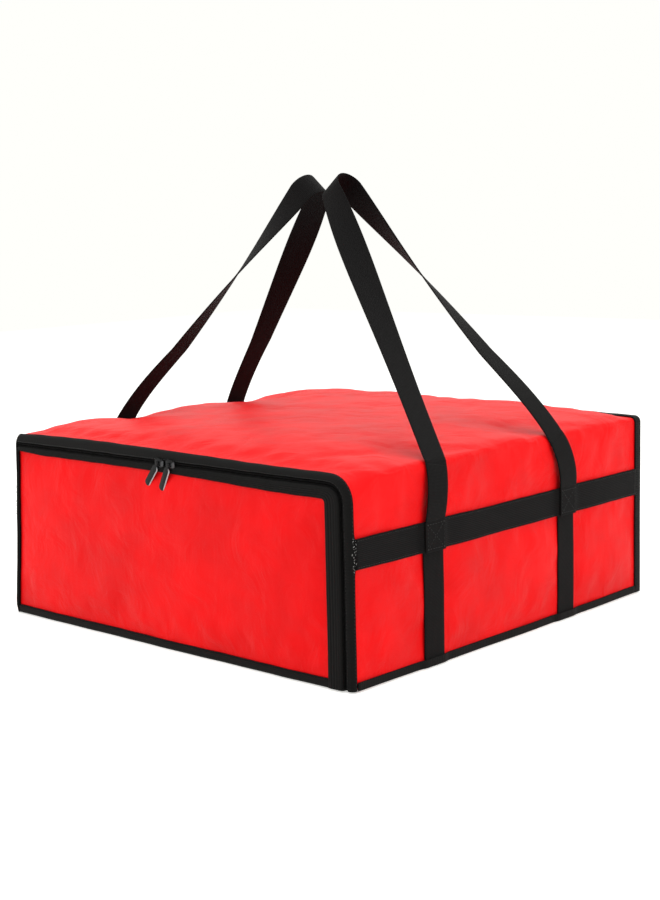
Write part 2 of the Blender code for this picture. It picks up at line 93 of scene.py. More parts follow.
# Sizes shared with the frame's own pieces
CLEARANCE = 0.0003
EDGE_RADIUS = 0.012
TOP_RADIUS = 0.0055
PRESSED_RADIUS = 0.010
BACK_RADII = (0.006, 0.006)
MOUTH_RADII = (0.011, 0.026)
BINDING_WIDTH = 0.0072
COIL_WIDTH = 0.0023
BACK_BINDING_WIDTH = 0.011
FOOT_BINDING_TOP = 0.009
WALL = 0.0072
FLOOR_GAP = 0.0005
CHAIN_INSET = BINDING_WIDTH + CLEARANCE + COIL_WIDTH + CLEARANCE / 2
FLAP_INSET = CHAIN_INSET + CLEARANCE / 2 + COIL_WIDTH + CLEARANCE
FLAP_BORDER = 0.0165
FLAP_TOP_BORDER = 0.0102
FLAP_FOOT_BORDER = 0.009
FLAP_BACK = FRONT + 0.0085
TAPE_BACK = FRONT + 0.0055
WEB_WIDTH = 0.030
WEB_THICKNESS = 0.0015
BAND_BOTTOM = BAND_LOW.z
BAND_TOP = BAND_HIGH.z
BAND_MIDDLE = (BAND_BOTTOM + BAND_TOP) / 2

# The handles, from the sewn ends over the fold to the crown
FOLD_CLEARANCE = 0.0025
FOLD_DIRECTION = math.radians(48)
FOLD_LEAN = math.radians(30)
RISER_BULGES = {"front": 0.0045, "rear": 0.0035}
RISER_SHARES = (0.33, 0.26)
RISER_LEANS = {"left": {"front": 0.009, "rear": 0.020}, "right": {"front": 0.009, "rear": 0.016}}
LEG_BOWS = {"left": {"front": 0.0042, "rear": 0.0024}, "right": {"front": 0.0, "rear": 0.0035}}
LEG_BOW_LENGTH = 0.115
CROWN_RADIUS = 0.018
CROWN_YS = {"left": 0.005, "right": -0.004}
CROWN_OUTS = {"left": 0.016, "right": 0.021}
CROWN_RISE = 0.271
TWIST_POWER = 2.4
FOOT_BLEND = 0.045
RISER_END = 0.9

# The sliders and pulls of the zip
METAL_PLATE = 0.0016
PULL_TILT = math.radians(4)
PULL_SLANTS = {"left": math.radians(41), "right": math.radians(29)}
SLIDER_X = {"left": -0.0055, "right": 0.0110}

# Sizes that only this script has
STRAP_HOLD = 0.018
INNER_FOOT = 0.0078
STITCH_INSET = 0.003
MOUTH_BACK = TAPE_BACK + 0.0008
BAND_REAR = BACK - BACK_BINDING_WIDTH - CLEARANCE
LINING_FRONT = BODY_FRONT + 0.0002
WALL_BOARDS = ["foam_board_top", "foam_board_left", "foam_board_right"]
BASE_CLOTH = 0.0006
BORDER_TAPE = 0.0009
LINING_FILM = 0.00025
LINING_CREASES = 60
BACK_STEPS = (62, 28)
FLAP_STEPS = (72, 28)
TOOTH_SIZE = (0.0008, 0.0025, 0.0023)
FRAY_PITCH = 0.0043
FRAY_SIZE = (0.0015, 0.0003, 0.0003)

# How the bag settles
DRIFT_WAVES = (0.11, 0.075, 0.05, 0.034, 0.024)
FLARE_SHARE_AT_TOP = 0.06
FLARE_POWER = 1.45
CORNER_TUCK = 0.004
FACE_SPREAD = 0.0055

# The photo's camera and the soft light
EYE = Vector((1.21119, -1.32002, 0.44698))
YAW, PITCH, ROLL = -0.7426, 0.1495, -0.0249
LENS, SENSOR = 64.06, 36.0
LAMPS = {  # place, aim, power, width
    "key_lamp": ((-0.9, -2.2, 1.9), (0, 0, 0.1), 41, 2.8),
    "fill_lamp": ((2.5, 0.1, 1.3), (0, 0, 0.1), 27, 2.6),
    "top_lamp": ((0.2, 0.6, 2.6), (0, 0, 0.2), 37, 3.0),
}
WORLD_STRENGTH = 0.55
FLOOR_HALF, FLOOR_LEVEL = 4.0, -0.0004
FLOOR_COLOUR = (0.88, 0.88, 0.86, 1)
FLOOR_GLOW = 0.5

# The cloth simulation
CLOTH = {"quality": 6, "mass": 0.2, "tension_stiffness": 20, "compression_stiffness": 12, "shear_stiffness": 8,
         "bending_stiffness": 0.8, "use_pressure": True}
CLOTH_STEPS = 20
SUNK_TAKEN_BACK = 0.75  # share of a point's inward move that is undone


def a_length(name, description, default):
    """A length for the panel."""
    return FloatProperty(name=name, description=description, default=default, unit="LENGTH")


def a_colour(name, description, *default):
    """A colour for the panel."""
    return FloatVectorProperty(name=name, description=description, default=default, subtype="COLOR")


class CarrierSizes(PropertyGroup):
    """Sizes of the soft parts"""

    crown: a_length("Crown", "Rise of the top at its middle", 0.0055)
    lift: a_length("Foot lift", "How far the foot's corners stand off the floor", 0.0008)
    flare: a_length("Flare", "How far the front left foot spreads", 0.018)
    top_rise: a_length("Top rise", "Rise of the top's edges", 0.0050)
    drift: a_length("Drift", "Unevenness of the sewn edges", 0.0005)
    crumple: a_length("Crumple", "Height of the creases in the red fabric", 0.0015)
    side_swell: a_length("Side swell", "Swell of a side between its straps", 0.0020)
    flap_swell: a_length("Flap swell", "Swell of the flap at its middle", 0.0042)
    back_swell: a_length("Back swell", "Swell of the back at its middle", 0.0035)
    fabric: a_length("Fabric", "Thickness of the red fabric", 0.0008)
    spare: FloatProperty(name="Spare cloth", description="Share of spare cloth that wrinkles between the seams",
                         default=0.012, min=0.0, max=0.05, subtype="FACTOR")
    stitch: a_length("Stitch", "Length of one stitch", 0.0026)
    stitch_pitch: a_length("Stitch pitch", "Distance between stitches", 0.0036)
    thread: a_length("Thread", "Thickness of the sewing thread", 0.0005)
    tooth_pitch: a_length("Coil pitch", "Distance between turns of the zip's coil", 0.0012)
    seed: IntProperty(name="Seed", description="Seed of the unevenness of the thread and the seams",
                      default=3, min=0)


class CarrierColours(PropertyGroup):
    """Colours of the materials"""

    fabric: a_colour("Fabric", "Red coated fabric", 0.838, 0.0015, 0.0030)
    webbing: a_colour("Webbing", "Black webbing", 0.0034, 0.0030, 0.0030)
    binding: a_colour("Binding", "Black binding tape", 0.0032, 0.0030, 0.0028)
    fray: a_colour("Frayed ends", "Pale ends of cut threads", 0.30, 0.30, 0.29)
    foam: a_colour("Foam", "White foam", 0.82, 0.82, 0.80)
    foil: a_colour("Foil", "Silver lining", 0.72, 0.73, 0.74)
    metal: a_colour("Metal", "Painted sliders and pulls", 0.006, 0.006, 0.0065)
    # Colour of a painted highlight along one rim of the sliders and pulls, not worn metal
    highlight_colour: a_colour("Bare metal", "Edges that have worn to the metal", 0.62, 0.62, 0.64)
    background: a_colour("Background", "Floor and backdrop as the camera sees them", 1.0, 1.0, 0.965)


def sizes():
    """The sizes that the panel shows."""
    return bpy.context.scene.carrier_sizes


def colours():
    """The colours that the panel shows."""
    return bpy.context.scene.carrier_colours


# Materials

def add_node(tree, kind, inputs=None, **settings):
    """A node with its settings and its inputs, where an input is a value or another node's output."""
    node = tree.nodes.new(kind)
    for key, value in settings.items():
        setattr(node, key, value)
    for key, value in (inputs or {}).items():
        if isinstance(value, bpy.types.NodeSocket):
            tree.links.new(value, node.inputs[key])
        else:
            node.inputs[key].default_value = value
    return node


def vary_colour(tree, shader, colour, spread, scale):
    """Colour that drifts a little lighter and darker over the surface."""
    place = add_node(tree, "ShaderNodeTexCoord").outputs["Object"]
    cloud = add_node(tree, "ShaderNodeTexNoise", {"Vector": place, "Scale": scale, "Detail": 6.0})
    ramp = add_node(tree, "ShaderNodeValToRGB", {"Fac": cloud.outputs["Fac"]})
    for stop, position, factor in zip(ramp.color_ramp.elements, (0.3, 0.7), (1 - spread, 1 + spread)):
        stop.position = position
        stop.color = (*(min(1.0, c * factor) for c in colour), 1.0)
    tree.links.new(ramp.outputs["Color"], shader.inputs["Base Color"])
    return cloud


def raise_by(tree, shader, height, distance, strength, under=None):
    """Bump from a height, over another bump where one is given."""
    inputs = {"Height": height, "Distance": distance, "Strength": strength}
    if under:
        inputs["Normal"] = under.outputs["Normal"]
    bump = add_node(tree, "ShaderNodeBump", inputs)
    tree.links.new(bump.outputs["Normal"], shader.inputs["Normal"])
    return bump


def weave(tree, along, across):
    """Height of a plain weave, from a wave along each way of the cloth's UV map."""
    place = add_node(tree, "ShaderNodeTexCoord").outputs["UV"]
    waves = [add_node(tree, "ShaderNodeTexWave", {"Vector": place, "Scale": scale, "Distortion": 0.4},
                      bands_direction=way).outputs["Fac"] for way, scale in (("X", along), ("Y", across))]
    return add_node(tree, "ShaderNodeMath", {0: waves[0], 1: waves[1]}, operation="MULTIPLY").outputs[0]


def fabric_relief(tree, shader, cloud):
    """Soft creases and upright streaks, with a fine plain weave over them."""
    place = add_node(tree, "ShaderNodeTexCoord").outputs["Object"]
    crease = add_node(tree, "ShaderNodeTexNoise",
                      {"Vector": place, "Scale": 24.0, "Detail": 5.0, "Distortion": 0.8})
    stretched = add_node(tree, "ShaderNodeMapping", {"Vector": place, "Scale": (1.0, 1.0, 0.22)})
    streaks = add_node(tree, "ShaderNodeTexNoise", {"Vector": stretched.outputs["Vector"], "Scale": 60.0,
                                                    "Detail": 3.0, "Distortion": 0.3})
    wide = raise_by(tree, shader, crease.outputs["Fac"], 0.0045, 0.8)
    soft = raise_by(tree, shader, streaks.outputs["Fac"], 0.0011, 0.7, wide)
    raise_by(tree, shader, weave(tree, 520.0, 520.0), 0.00012, 0.6, soft)


def webbing_relief(tree, shader, cloud):
    """Ribs across the webbing's length and a fine weave along it."""
    raise_by(tree, shader, weave(tree, 230.0, 170.0), 0.0004, 0.9)


def tape_relief(tree, shader, cloud):
    """Close ribs along the tape's edge."""
    raise_by(tree, shader, weave(tree, 120.0, 300.0), 0.0003, 0.9)


def foil_relief(tree, shader, cloud):
    """A faint quilted net of crinkles."""
    place = add_node(tree, "ShaderNodeTexCoord")
    crinkle = add_node(tree, "ShaderNodeTexVoronoi", {"Vector": place.outputs["Object"], "Scale": 95.0},
                       feature="DISTANCE_TO_EDGE")
    raise_by(tree, shader, crinkle.outputs["Distance"], 0.0015, 0.5)


def foam_relief(tree, shader, cloud):
    """Small closed cells."""
    place = add_node(tree, "ShaderNodeTexCoord")
    cells = add_node(tree, "ShaderNodeTexVoronoi", {"Vector": place.outputs["Object"], "Scale": 700.0})
    raise_by(tree, shader, cells.outputs["Distance"], 0.0004, 0.6)


def metal_highlight_and_relief(tree, shader, cloud):
    """Uneven paint, with a painted highlight along the rim that the piece marks."""
    worn = add_node(tree, "ShaderNodeAttribute", attribute_name="worn")
    # Mix the painted highlight colour into the paint where the piece marks its rim
    highlight_colour = add_node(tree, "ShaderNodeMixRGB", {"Fac": worn.outputs["Fac"], "Color2": (*colours().highlight_colour, 1.0)})
    tree.links.new(shader.inputs["Base Color"].links[0].from_socket, highlight_colour.inputs["Color1"])
    tree.links.new(highlight_colour.outputs["Color"], shader.inputs["Base Color"])
    raise_by(tree, shader, cloud.outputs["Fac"], 0.00015, 0.5)


# Each slot's material: name, colour and its factor, spread and scale of the drift, roughness and the span
# in which it follows the drift, other even values of the shader, relief
FINISHES = {
    "red_fabric": ("red_coated_fabric", "fabric", 1.0, 0.10, 14.0, 0.42, (0.36, 0.50),
                   {"Sheen Weight": 0.02, "Specular IOR Level": 0.10}, fabric_relief),
    "black_webbing": ("black_woven_webbing", "webbing", 1.0, 0.30, 160.0, 0.72, (0.62, 0.80),
                      {"Sheen Weight": 0.02, "Specular IOR Level": 0.07}, webbing_relief),
    "black_binding": ("black_ribbed_tape", "binding", 1.0, 0.28, 120.0, 0.62, (0.52, 0.70),
                      {"Sheen Weight": 0.02, "Specular IOR Level": 0.075}, tape_relief),
    "thread": ("black_thread", "webbing", 1.8, 0.25, 400.0, 0.45, None, {"Sheen Weight": 0.05}, None),
    "fray": ("pale_thread", "fray", 1.0, 0.2, 500.0, 0.7, None, {"Sheen Weight": 0.1}, None),
    "silver_foil": ("silver_film", "foil", 1.0, 0.05, 40.0, 0.30, (0.24, 0.38), {"Metallic": 0.9}, foil_relief),
    "white_foam": ("white_closed_foam", "foam", 1.0, 0.03, 60.0, 0.9, None, {}, foam_relief),
    "zip_coil": ("black_coil", "webbing", 0.8, 0.2, 300.0, 0.6, None, {"Specular IOR Level": 0.12}, None),
    "black_metal": ("black_painted_metal", "metal", 1.0, 0.35, 260.0, 0.25, (0.18, 0.34),
                    {"Specular IOR Level": 0.12}, metal_highlight_and_relief),
}


def finish_for(slot):
    """The Principled material of a slot, made the first time that it is asked for."""
    name, colour, factor, spread, scale, roughness, span, looks, relief = FINISHES[slot]
    if name in bpy.data.materials:
        return bpy.data.materials[name]
    material = bpy.data.materials.new(name)
    material.use_nodes = True
    tree = material.node_tree
    shader = tree.nodes["Principled BSDF"]
    for socket, value in {"Roughness": roughness, "Specular IOR Level": 0.3, **looks}.items():
        shader.inputs[socket].default_value = value
    cloud = vary_colour(tree, shader, [c * factor for c in getattr(colours(), colour)], spread, scale)
    if span:
        follow = add_node(tree, "ShaderNodeMapRange",
                          {"Value": cloud.outputs["Fac"], "To Min": span[0], "To Max": span[1]})
        tree.links.new(follow.outputs["Result"], shader.inputs["Roughness"])
    if relief:
        relief(tree, shader, cloud)
    return material


# Meshes

def new_object(name, data):
    """A new object in the scene."""
    obj = bpy.data.objects.new(name, data)
    bpy.context.collection.objects.link(obj)
    return obj


def grid_piece(name, points, around=False, caps=False):
    """Quads through rows of points, closed round each row if asked, with a UV map in metres."""
    points = np.asarray(points, float)
    rows, columns = points.shape[:2]
    index = np.arange(rows * columns).reshape(rows, columns)
    ring = np.concatenate([points, points[:, :1]], 1) if around else points
    if around:
        index = np.hstack([index, index[:, :1]])
    lengths = np.linalg.norm(np.diff(ring, axis=1), axis=2).mean(0)
    travel = np.linalg.norm(np.diff(points, axis=0), axis=2).mean(1)
    u, v = np.meshgrid(np.append(0, np.cumsum(lengths)), np.append(0, np.cumsum(travel)))
    corners = ((slice(None, -1), slice(None, -1)), (slice(None, -1), slice(1, None)),
               (slice(1, None), slice(1, None)), (slice(1, None), slice(None, -1)))
    quads = np.stack([index[c] for c in corners], -1).reshape(-1, 4).tolist()
    places = np.stack([np.stack([v[c], u[c]], -1) for c in corners], -2).reshape(-1, 2)
    if caps:
        for end in (index[0, :columns], index[-1, :columns]):
            quads.append(end.tolist())
        places = np.vstack([places, np.zeros((2 * columns, 2))])
    mesh = bpy.data.meshes.new(name)
    mesh.from_pydata(points.reshape(-1, 3).tolist(), [], quads)
    mesh.uv_layers.new(name="cloth").data.foreach_set("uv", places.ravel())
    return new_object(name, mesh)


def plain(obj, *steps):
    """Apply modifiers given as (kind, settings) and leave a plain mesh."""
    for kind, settings in steps:
        modifier = obj.modifiers.new(kind.lower(), kind)
        for key, value in settings.items():
            setattr(modifier, key, value)
    bpy.context.view_layer.update()
    evaluated = obj.evaluated_get(bpy.context.evaluated_depsgraph_get())
    mesh = bpy.data.meshes.new_from_object(evaluated)
    obj.modifiers.clear()
    obj.data = mesh
    return obj


def face_outwards(obj):
    """Point the faces of a closed piece outwards."""
    body = bmesh.new()
    body.from_mesh(obj.data)
    bmesh.ops.recalc_face_normals(body, faces=body.faces)
    body.to_mesh(obj.data)
    body.free()
    return obj


def thicken(obj, thickness, offset=0.0, smooth=False):
    """Give a sheet its thickness, after one smoothing step if asked."""
    steps = [("SUBSURF", {"levels": 1, "render_levels": 1})] if smooth else []
    return face_outwards(plain(obj, *steps, ("SOLIDIFY", {"thickness": thickness, "offset": offset})))


def join(name, objects):
    """Join pieces into the first one."""
    made = bmesh.new()
    for obj in objects:
        made.from_mesh(obj.data)
    mesh = bpy.data.meshes.new(name)
    made.to_mesh(mesh)
    made.free()
    for obj in objects[1:]:
        bpy.data.objects.remove(obj)
    objects[0].data = mesh
    objects[0].name = name
    return objects[0]


def dress(obj, slot, body=None, nodes=(), finish=None, soft=True):
    """Settle a soft piece with the bag, give it the material of its slot or finish, hang it on the body that it
    rides on and hide the nodes that it stands for.
    """
    if soft:
        points = np.zeros(len(obj.data.vertices) * 3)
        obj.data.vertices.foreach_get("co", points)
        obj.data.vertices.foreach_set("co", sag(points.reshape(-1, 3)).ravel())
        obj.data.update()
    obj.data.materials.clear()
    obj.data.materials.append(finish_for(finish or slot))
    obj.data.shade_smooth()
    if body:
        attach(obj, body)
    if nodes:
        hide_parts(*nodes)
    return obj


def sewn_edges(rows, columns, margin=2):
    """Mask of the points of a grid that are sewn down along its edges."""
    pinned = np.ones((rows, columns), bool)
    pinned[margin:-margin, margin:-margin] = False
    return pinned


def settle(obj, pinned, pressure, cap):
    """Let the cloth wrinkle between its sewn points, and keep the result in its mesh."""
    count = len(obj.data.vertices)
    rest, after, outward = (np.zeros(count * 3) for _ in range(3))
    obj.data.vertices.foreach_get("co", rest)
    group = obj.vertex_groups.new(name="sewn")
    group.add(np.flatnonzero(pinned).tolist(), 1.0, "REPLACE")
    cloth = obj.modifiers.new("cloth", "CLOTH")
    for key, value in CLOTH.items():
        setattr(cloth.settings, key, value)
    cloth.settings.vertex_group_mass = group.name
    cloth.settings.shrink_min = -sizes().spare
    cloth.settings.uniform_pressure_force = pressure
    cloth.settings.effector_weights.gravity = 0
    cloth.collision_settings.use_collision = False
    cloth.point_cache.frame_end = CLOTH_STEPS
    for step in range(1, CLOTH_STEPS + 1):
        bpy.context.scene.frame_set(step)
    evaluated = obj.evaluated_get(bpy.context.evaluated_depsgraph_get())
    evaluated.data.vertices.foreach_get("co", after)
    move = (after - rest).reshape(-1, 3)
    obj.data.vertices.foreach_get("normal", outward)
    outward = outward.reshape(-1, 3) * math.copysign(1, pressure)
    sunk = np.minimum((move * outward).sum(1, keepdims=True), 0)
    move -= outward * sunk * SUNK_TAKEN_BACK
    length = np.linalg.norm(move, axis=1, keepdims=True)
    move *= np.minimum(1, cap / np.maximum(length, 1e-9))
    obj.modifiers.remove(cloth)
    obj.vertex_groups.clear()
    bpy.context.scene.frame_set(1)
    obj.data.vertices.foreach_set("co", rest + move.ravel())
    obj.data.update()


# Shapes of the bag

def rise(value, low, high):
    """Smooth step from 0 at low to 1 at high."""
    share = np.clip((value - low) / (high - low), 0, 1)
    return share * share * (3 - 2 * share)


def held(value, middle):
    """1 under a strap and close beside it, falling to 0 away from it."""
    return 1 - rise(abs(value - middle), STRAP_HOLD, 0.055)


def side_swell(name, y, z):
    """How far a side stands out, pulled in under its straps and its band."""
    level = np.clip(np.sin(np.pi * np.clip(z / HEIGHT, 0, 1)), 0, 1) ** 0.8
    along = 1 - abs(y / BACK) ** 4
    for middle in STRAP_Y[name].values():
        along = along * (1 - 0.6 * held(y, middle))
    return sizes().side_swell * level * along * (1 - 0.5 * held(z, BAND_MIDDLE))


def top_crown(x, y):
    """How far the top stands up, pressed down where the handles fold over its edges."""
    along = np.clip(1 - abs(y / BACK) ** 10, 0, 1)
    for foot in fold_feet("left" if x < 0 else "right"):
        along = along * (1 - 0.8 * held(y, foot) * rise(abs(x), HALF - 0.09, HALF))
    return sizes().crown * (1 - abs(x / HALF) ** 6) * along


def radii_at(y):
    """Radii of the wrap's two upper corners at a depth: rounder at the mouth and under a handle."""
    mouth = 1 - rise(y, FRONT + 0.010, FRONT + 0.045)
    tops = [TOP_RADIUS + (PRESSED_RADIUS - TOP_RADIUS) * max(held(y, foot) for foot in fold_feet(name))
            for name in SIDES]
    return [top + (front - top) * mouth for front, top in zip(MOUTH_RADII, tops)]


def fold_feet(name):
    """Depths at which a handle's legs fold over the edge of the top."""
    return [STRAP_Y[name][place] + TOWARDS_MIDDLE[place] * RISER_LEANS[name][place] for place in PLACES]


def under_fold(name, x, y):
    """1 where a folded handle rests on the edge of the top, falling to 0 beside it."""
    beside = sum(1 - rise(abs(y - foot), STRAP_HOLD, 0.045) for foot in fold_feet(name))
    return beside * rise(abs(x), HALF - 0.075, HALF - 0.035)


def drift(points, z, y):
    """Unevenness of the sewing, the same for pieces that lie together and none at the sliders and the floor."""
    rng = np.random.default_rng(sizes().seed)
    moved = np.zeros_like(points)
    for length in DRIFT_WAVES:
        way, move = rng.normal(size=(2, 3))
        wave = np.sin(points @ (way / np.linalg.norm(way)) * (2 * math.pi / length) + rng.uniform(0, 2 * math.pi))
        moved += wave[..., None] * (move / np.linalg.norm(move)) * sizes().drift * length / DRIFT_WAVES[0]
    calm = (1 - rise(abs(points[..., 0]), 0.03, 0.06)) * rise(z, 0.75, 0.9) * (1 - rise(y, -0.97, -0.9))
    moved *= 1 - calm[..., None]
    moved[..., 1] *= 1 - rise(z, 0.75, 0.9) * (1 - rise(y, -0.97, -0.9))
    moved[..., 2] *= rise(z, 0.0, 0.1)
    return moved


def sag(points):
    """Settle points of the bag: lifted foot corners, a spread front left foot, a raised top, uneven sewing."""
    points = np.array(points, float)
    x, y = points[..., 0] / HALF, points[..., 1] / BACK
    z = np.clip(points[..., 2] / HEIGHT, 0, 1)
    low = 1 - z
    moved = drift(points, z, y)
    near = FLARE_SHARE_AT_TOP * (1 - rise(y, -1.0, -0.5))
    near = near + (1 - FLARE_SHARE_AT_TOP) * (1 - rise(y, -1.0, 0.6)) * low ** FLARE_POWER
    moved[..., 0] -= sizes().flare * near * rise(-x, 0.1, 1.0)
    corner = (1 - rise(z, 0.0, 0.07)) ** 2 * (1 - rise(y, -1.0, -0.9)) * rise(-x, 0.9, 1.0)
    moved[..., 0] += CORNER_TUCK * corner
    inset = points[..., 0] + HALF
    face = 1 - rise(points[..., 1], FRONT + 0.012, FRONT + 0.04)
    moved[..., 0] -= FACE_SPREAD * rise(inset, 0.0, 0.016) * (1 - rise(inset, 0.03, 0.12)) * face
    moved[..., 2] += sizes().lift * x * x * y * y * low ** 2
    pressed = sum(1 - rise(abs(points[..., 1] - foot), STRAP_HOLD, 0.075) for foot in fold_feet("left"))
    pressed = pressed * (0.30 * rise(-x, 0.55, 0.85) + 0.45 * rise(-x, 0.84, 0.95))
    across = (1 - rise(x, -0.5, 0.8)) * (1 - rise(y, -1.0, -0.5)) + (1 - rise(x, 0.3, 1.0)) * rise(y, -1.0, -0.5)
    corners = np.clip(1 - x ** 6 * y ** 6, 0, 1)
    corners = corners * (1 - 0.25 * rise(-y, 0.5, 1.0)) * (1 - 0.75 * rise(y, 0.93, 1.0))
    behind = rise(points[..., 1], FRONT + 0.004, FRONT + 0.03)
    reach = (1 - behind) * rise(points[..., 2], HEIGHT - 0.0078, HEIGHT - 0.001) + behind * z ** 6
    moved[..., 2] += sizes().top_rise * across * corners * (1 - pressed) * reach
    return points + moved


def hoop(inset, radii, foot, side_steps=26, arc_steps=8, top_steps=62):
    """Points of an upside-down U as (x, z), from its left foot, with a radius for each corner."""
    half = HALF - inset
    top = HEIGHT - inset
    bends = [max(radius - inset, 0.0004) for radius in radii]
    legs = []
    for side, bend in zip((-1, 1), bends):
        leg = [(side * half, foot + (top - bend - foot) * i / side_steps) for i in range(side_steps)]
        turn = [math.pi / 2 * i / arc_steps for i in range(arc_steps)]
        leg += [(side * (half - bend + bend * math.cos(a)), top - bend + bend * math.sin(a)) for a in turn]
        legs.append(leg)
    over = [(x, top) for x in np.linspace(bends[0] - half, half - bends[1], top_steps + 1)]
    return np.array(legs[0] + over + legs[1][::-1])


def ruffle(point, scale, seed):
    """Even small-scale unevenness between -1 and 1."""
    return noise.noise(Vector(point) * scale + Vector((seed, seed * 1.7, -seed)))


def web_out(level):
    """Distance from the middle plane to the middle of the webbing at a layer."""
    return HALF + level * (CLEARANCE + WEB_THICKNESS) - WEB_THICKNESS / 2


def webbing(name, centres, across, width=WEB_WIDTH, thickness=WEB_THICKNESS):
    """Woven strap along its centres, with rounded selvedges."""
    centres = np.asarray(centres, float)
    across = np.asarray(across, float)
    run = np.gradient(centres, axis=0)
    run /= np.linalg.norm(run, axis=1, keepdims=True)
    across = across - run * (across * run).sum(1, keepdims=True)
    across /= np.linalg.norm(across, axis=1, keepdims=True)
    out = np.cross(run, across)
    half, flat = thickness / 2, width / 2 - thickness / 2
    section = [(flat * (1 - i / 4), half * (1.0 if i % 8 else 0.92)) for i in range(9)]
    turn = [math.pi / 4 * step for step in (1, 2, 3)]
    section += [(-flat - half * math.sin(a), half * math.cos(a)) for a in turn]
    section += [(-a, -b) for a, b in section]
    points = [centres + across * a + out * b for a, b in section]
    return face_outwards(grid_piece(name, np.stack(points, 1), around=True, caps=True))


# Repeated small shapes

def repeat_tree():
    """Nodes that set a small rounded bead at even steps along lines."""
    tree = bpy.data.node_groups.get("beads_along_lines")
    if tree:
        return tree
    tree = bpy.data.node_groups.new("beads_along_lines", "GeometryNodeTree")
    face = tree.interface
    face.new_socket("Geometry", in_out="INPUT", socket_type="NodeSocketGeometry")
    for name, kind in (("Pitch", "Float"), ("Size", "Vector"), ("Unevenness", "Float"), ("Seed", "Int"),
                       ("Material", "Material")):
        face.new_socket(name, in_out="INPUT", socket_type=f"NodeSocket{kind}")
    face.new_socket("Geometry", in_out="OUTPUT", socket_type="NodeSocketGeometry")
    given = add_node(tree, "NodeGroupInput").outputs
    line = add_node(tree, "GeometryNodeMeshToCurve", {"Mesh": given["Geometry"]})
    points = add_node(tree, "GeometryNodeCurveToPoints", {"Curve": line.outputs[0], "Length": given["Pitch"]},
                      mode="LENGTH")
    turn = add_node(tree, "FunctionNodeAlignRotationToVector", {"Vector": points.outputs["Tangent"]}, axis="X")
    bead = add_node(tree, "GeometryNodeMeshUVSphere", {"Segments": 6, "Rings": 4, "Radius": 0.5})
    share = add_node(tree, "FunctionNodeRandomValue", {"Seed": given["Seed"]}, data_type="FLOAT")
    for end, way in ((2, "SUBTRACT"), (3, "ADD")):
        bound = add_node(tree, "ShaderNodeMath", {0: 1.0, 1: given["Unevenness"]}, operation=way)
        tree.links.new(bound.outputs[0], share.inputs[end])
    scale = add_node(tree, "ShaderNodeVectorMath", {0: given["Size"]}, operation="SCALE")
    tree.links.new(share.outputs[1], scale.inputs["Scale"])
    beads = add_node(tree, "GeometryNodeInstanceOnPoints",
                     {"Points": points.outputs["Points"], "Instance": bead.outputs["Mesh"],
                      "Rotation": turn.outputs[0], "Scale": scale.outputs[0]})
    real = add_node(tree, "GeometryNodeRealizeInstances", {"Geometry": beads.outputs[0]})
    painted = add_node(tree, "GeometryNodeSetMaterial",
                       {"Geometry": real.outputs[0], "Material": given["Material"]})
    add_node(tree, "NodeGroupOutput", {"Geometry": painted.outputs[0]})
    return tree


def beads(name, lines, pitch, size, finish, uneven=0.08):
    """A plain mesh of beads along lines of points."""
    points, edges = [], []
    for line in lines:
        start = len(points)
        points += [tuple(p) for p in line]
        edges += [(i, i + 1) for i in range(start, len(points) - 1)]
    mesh = bpy.data.meshes.new(name)
    mesh.from_pydata(points, edges, [])
    obj = new_object(name, mesh)
    tree = repeat_tree()
    modifier = obj.modifiers.new("beads", "NODES")
    modifier.node_group = tree
    values = {"Pitch": pitch, "Size": size, "Unevenness": uneven, "Seed": sizes().seed,
              "Material": finish_for(finish)}
    for socket in tree.interface.items_tree:
        if socket.in_out == "INPUT" and socket.name in values:
            modifier[socket.identifier] = values[socket.name]
    return plain(obj)


def stitches(name, lines, body, slot="black_binding"):
    """Rows of stitches that ride on a body."""
    thread = sizes().thread
    obj = beads(name, lines, sizes().stitch_pitch, (sizes().stitch, thread, thread), "thread")
    return dress(obj, slot, body, finish="thread")


# The pieces

def seen(tree):
    """1 for what the camera sees, also in a reflection or through something clear."""
    path = add_node(tree, "ShaderNodeLightPath").outputs
    straight = add_node(tree, "ShaderNodeMath", {0: path["Is Camera Ray"], 1: path["Is Glossy Ray"]},
                        operation="MAXIMUM")
    return add_node(tree, "ShaderNodeMath", {0: straight.outputs[0], 1: path["Is Transmission Ray"]},
                    operation="MAXIMUM").outputs[0]


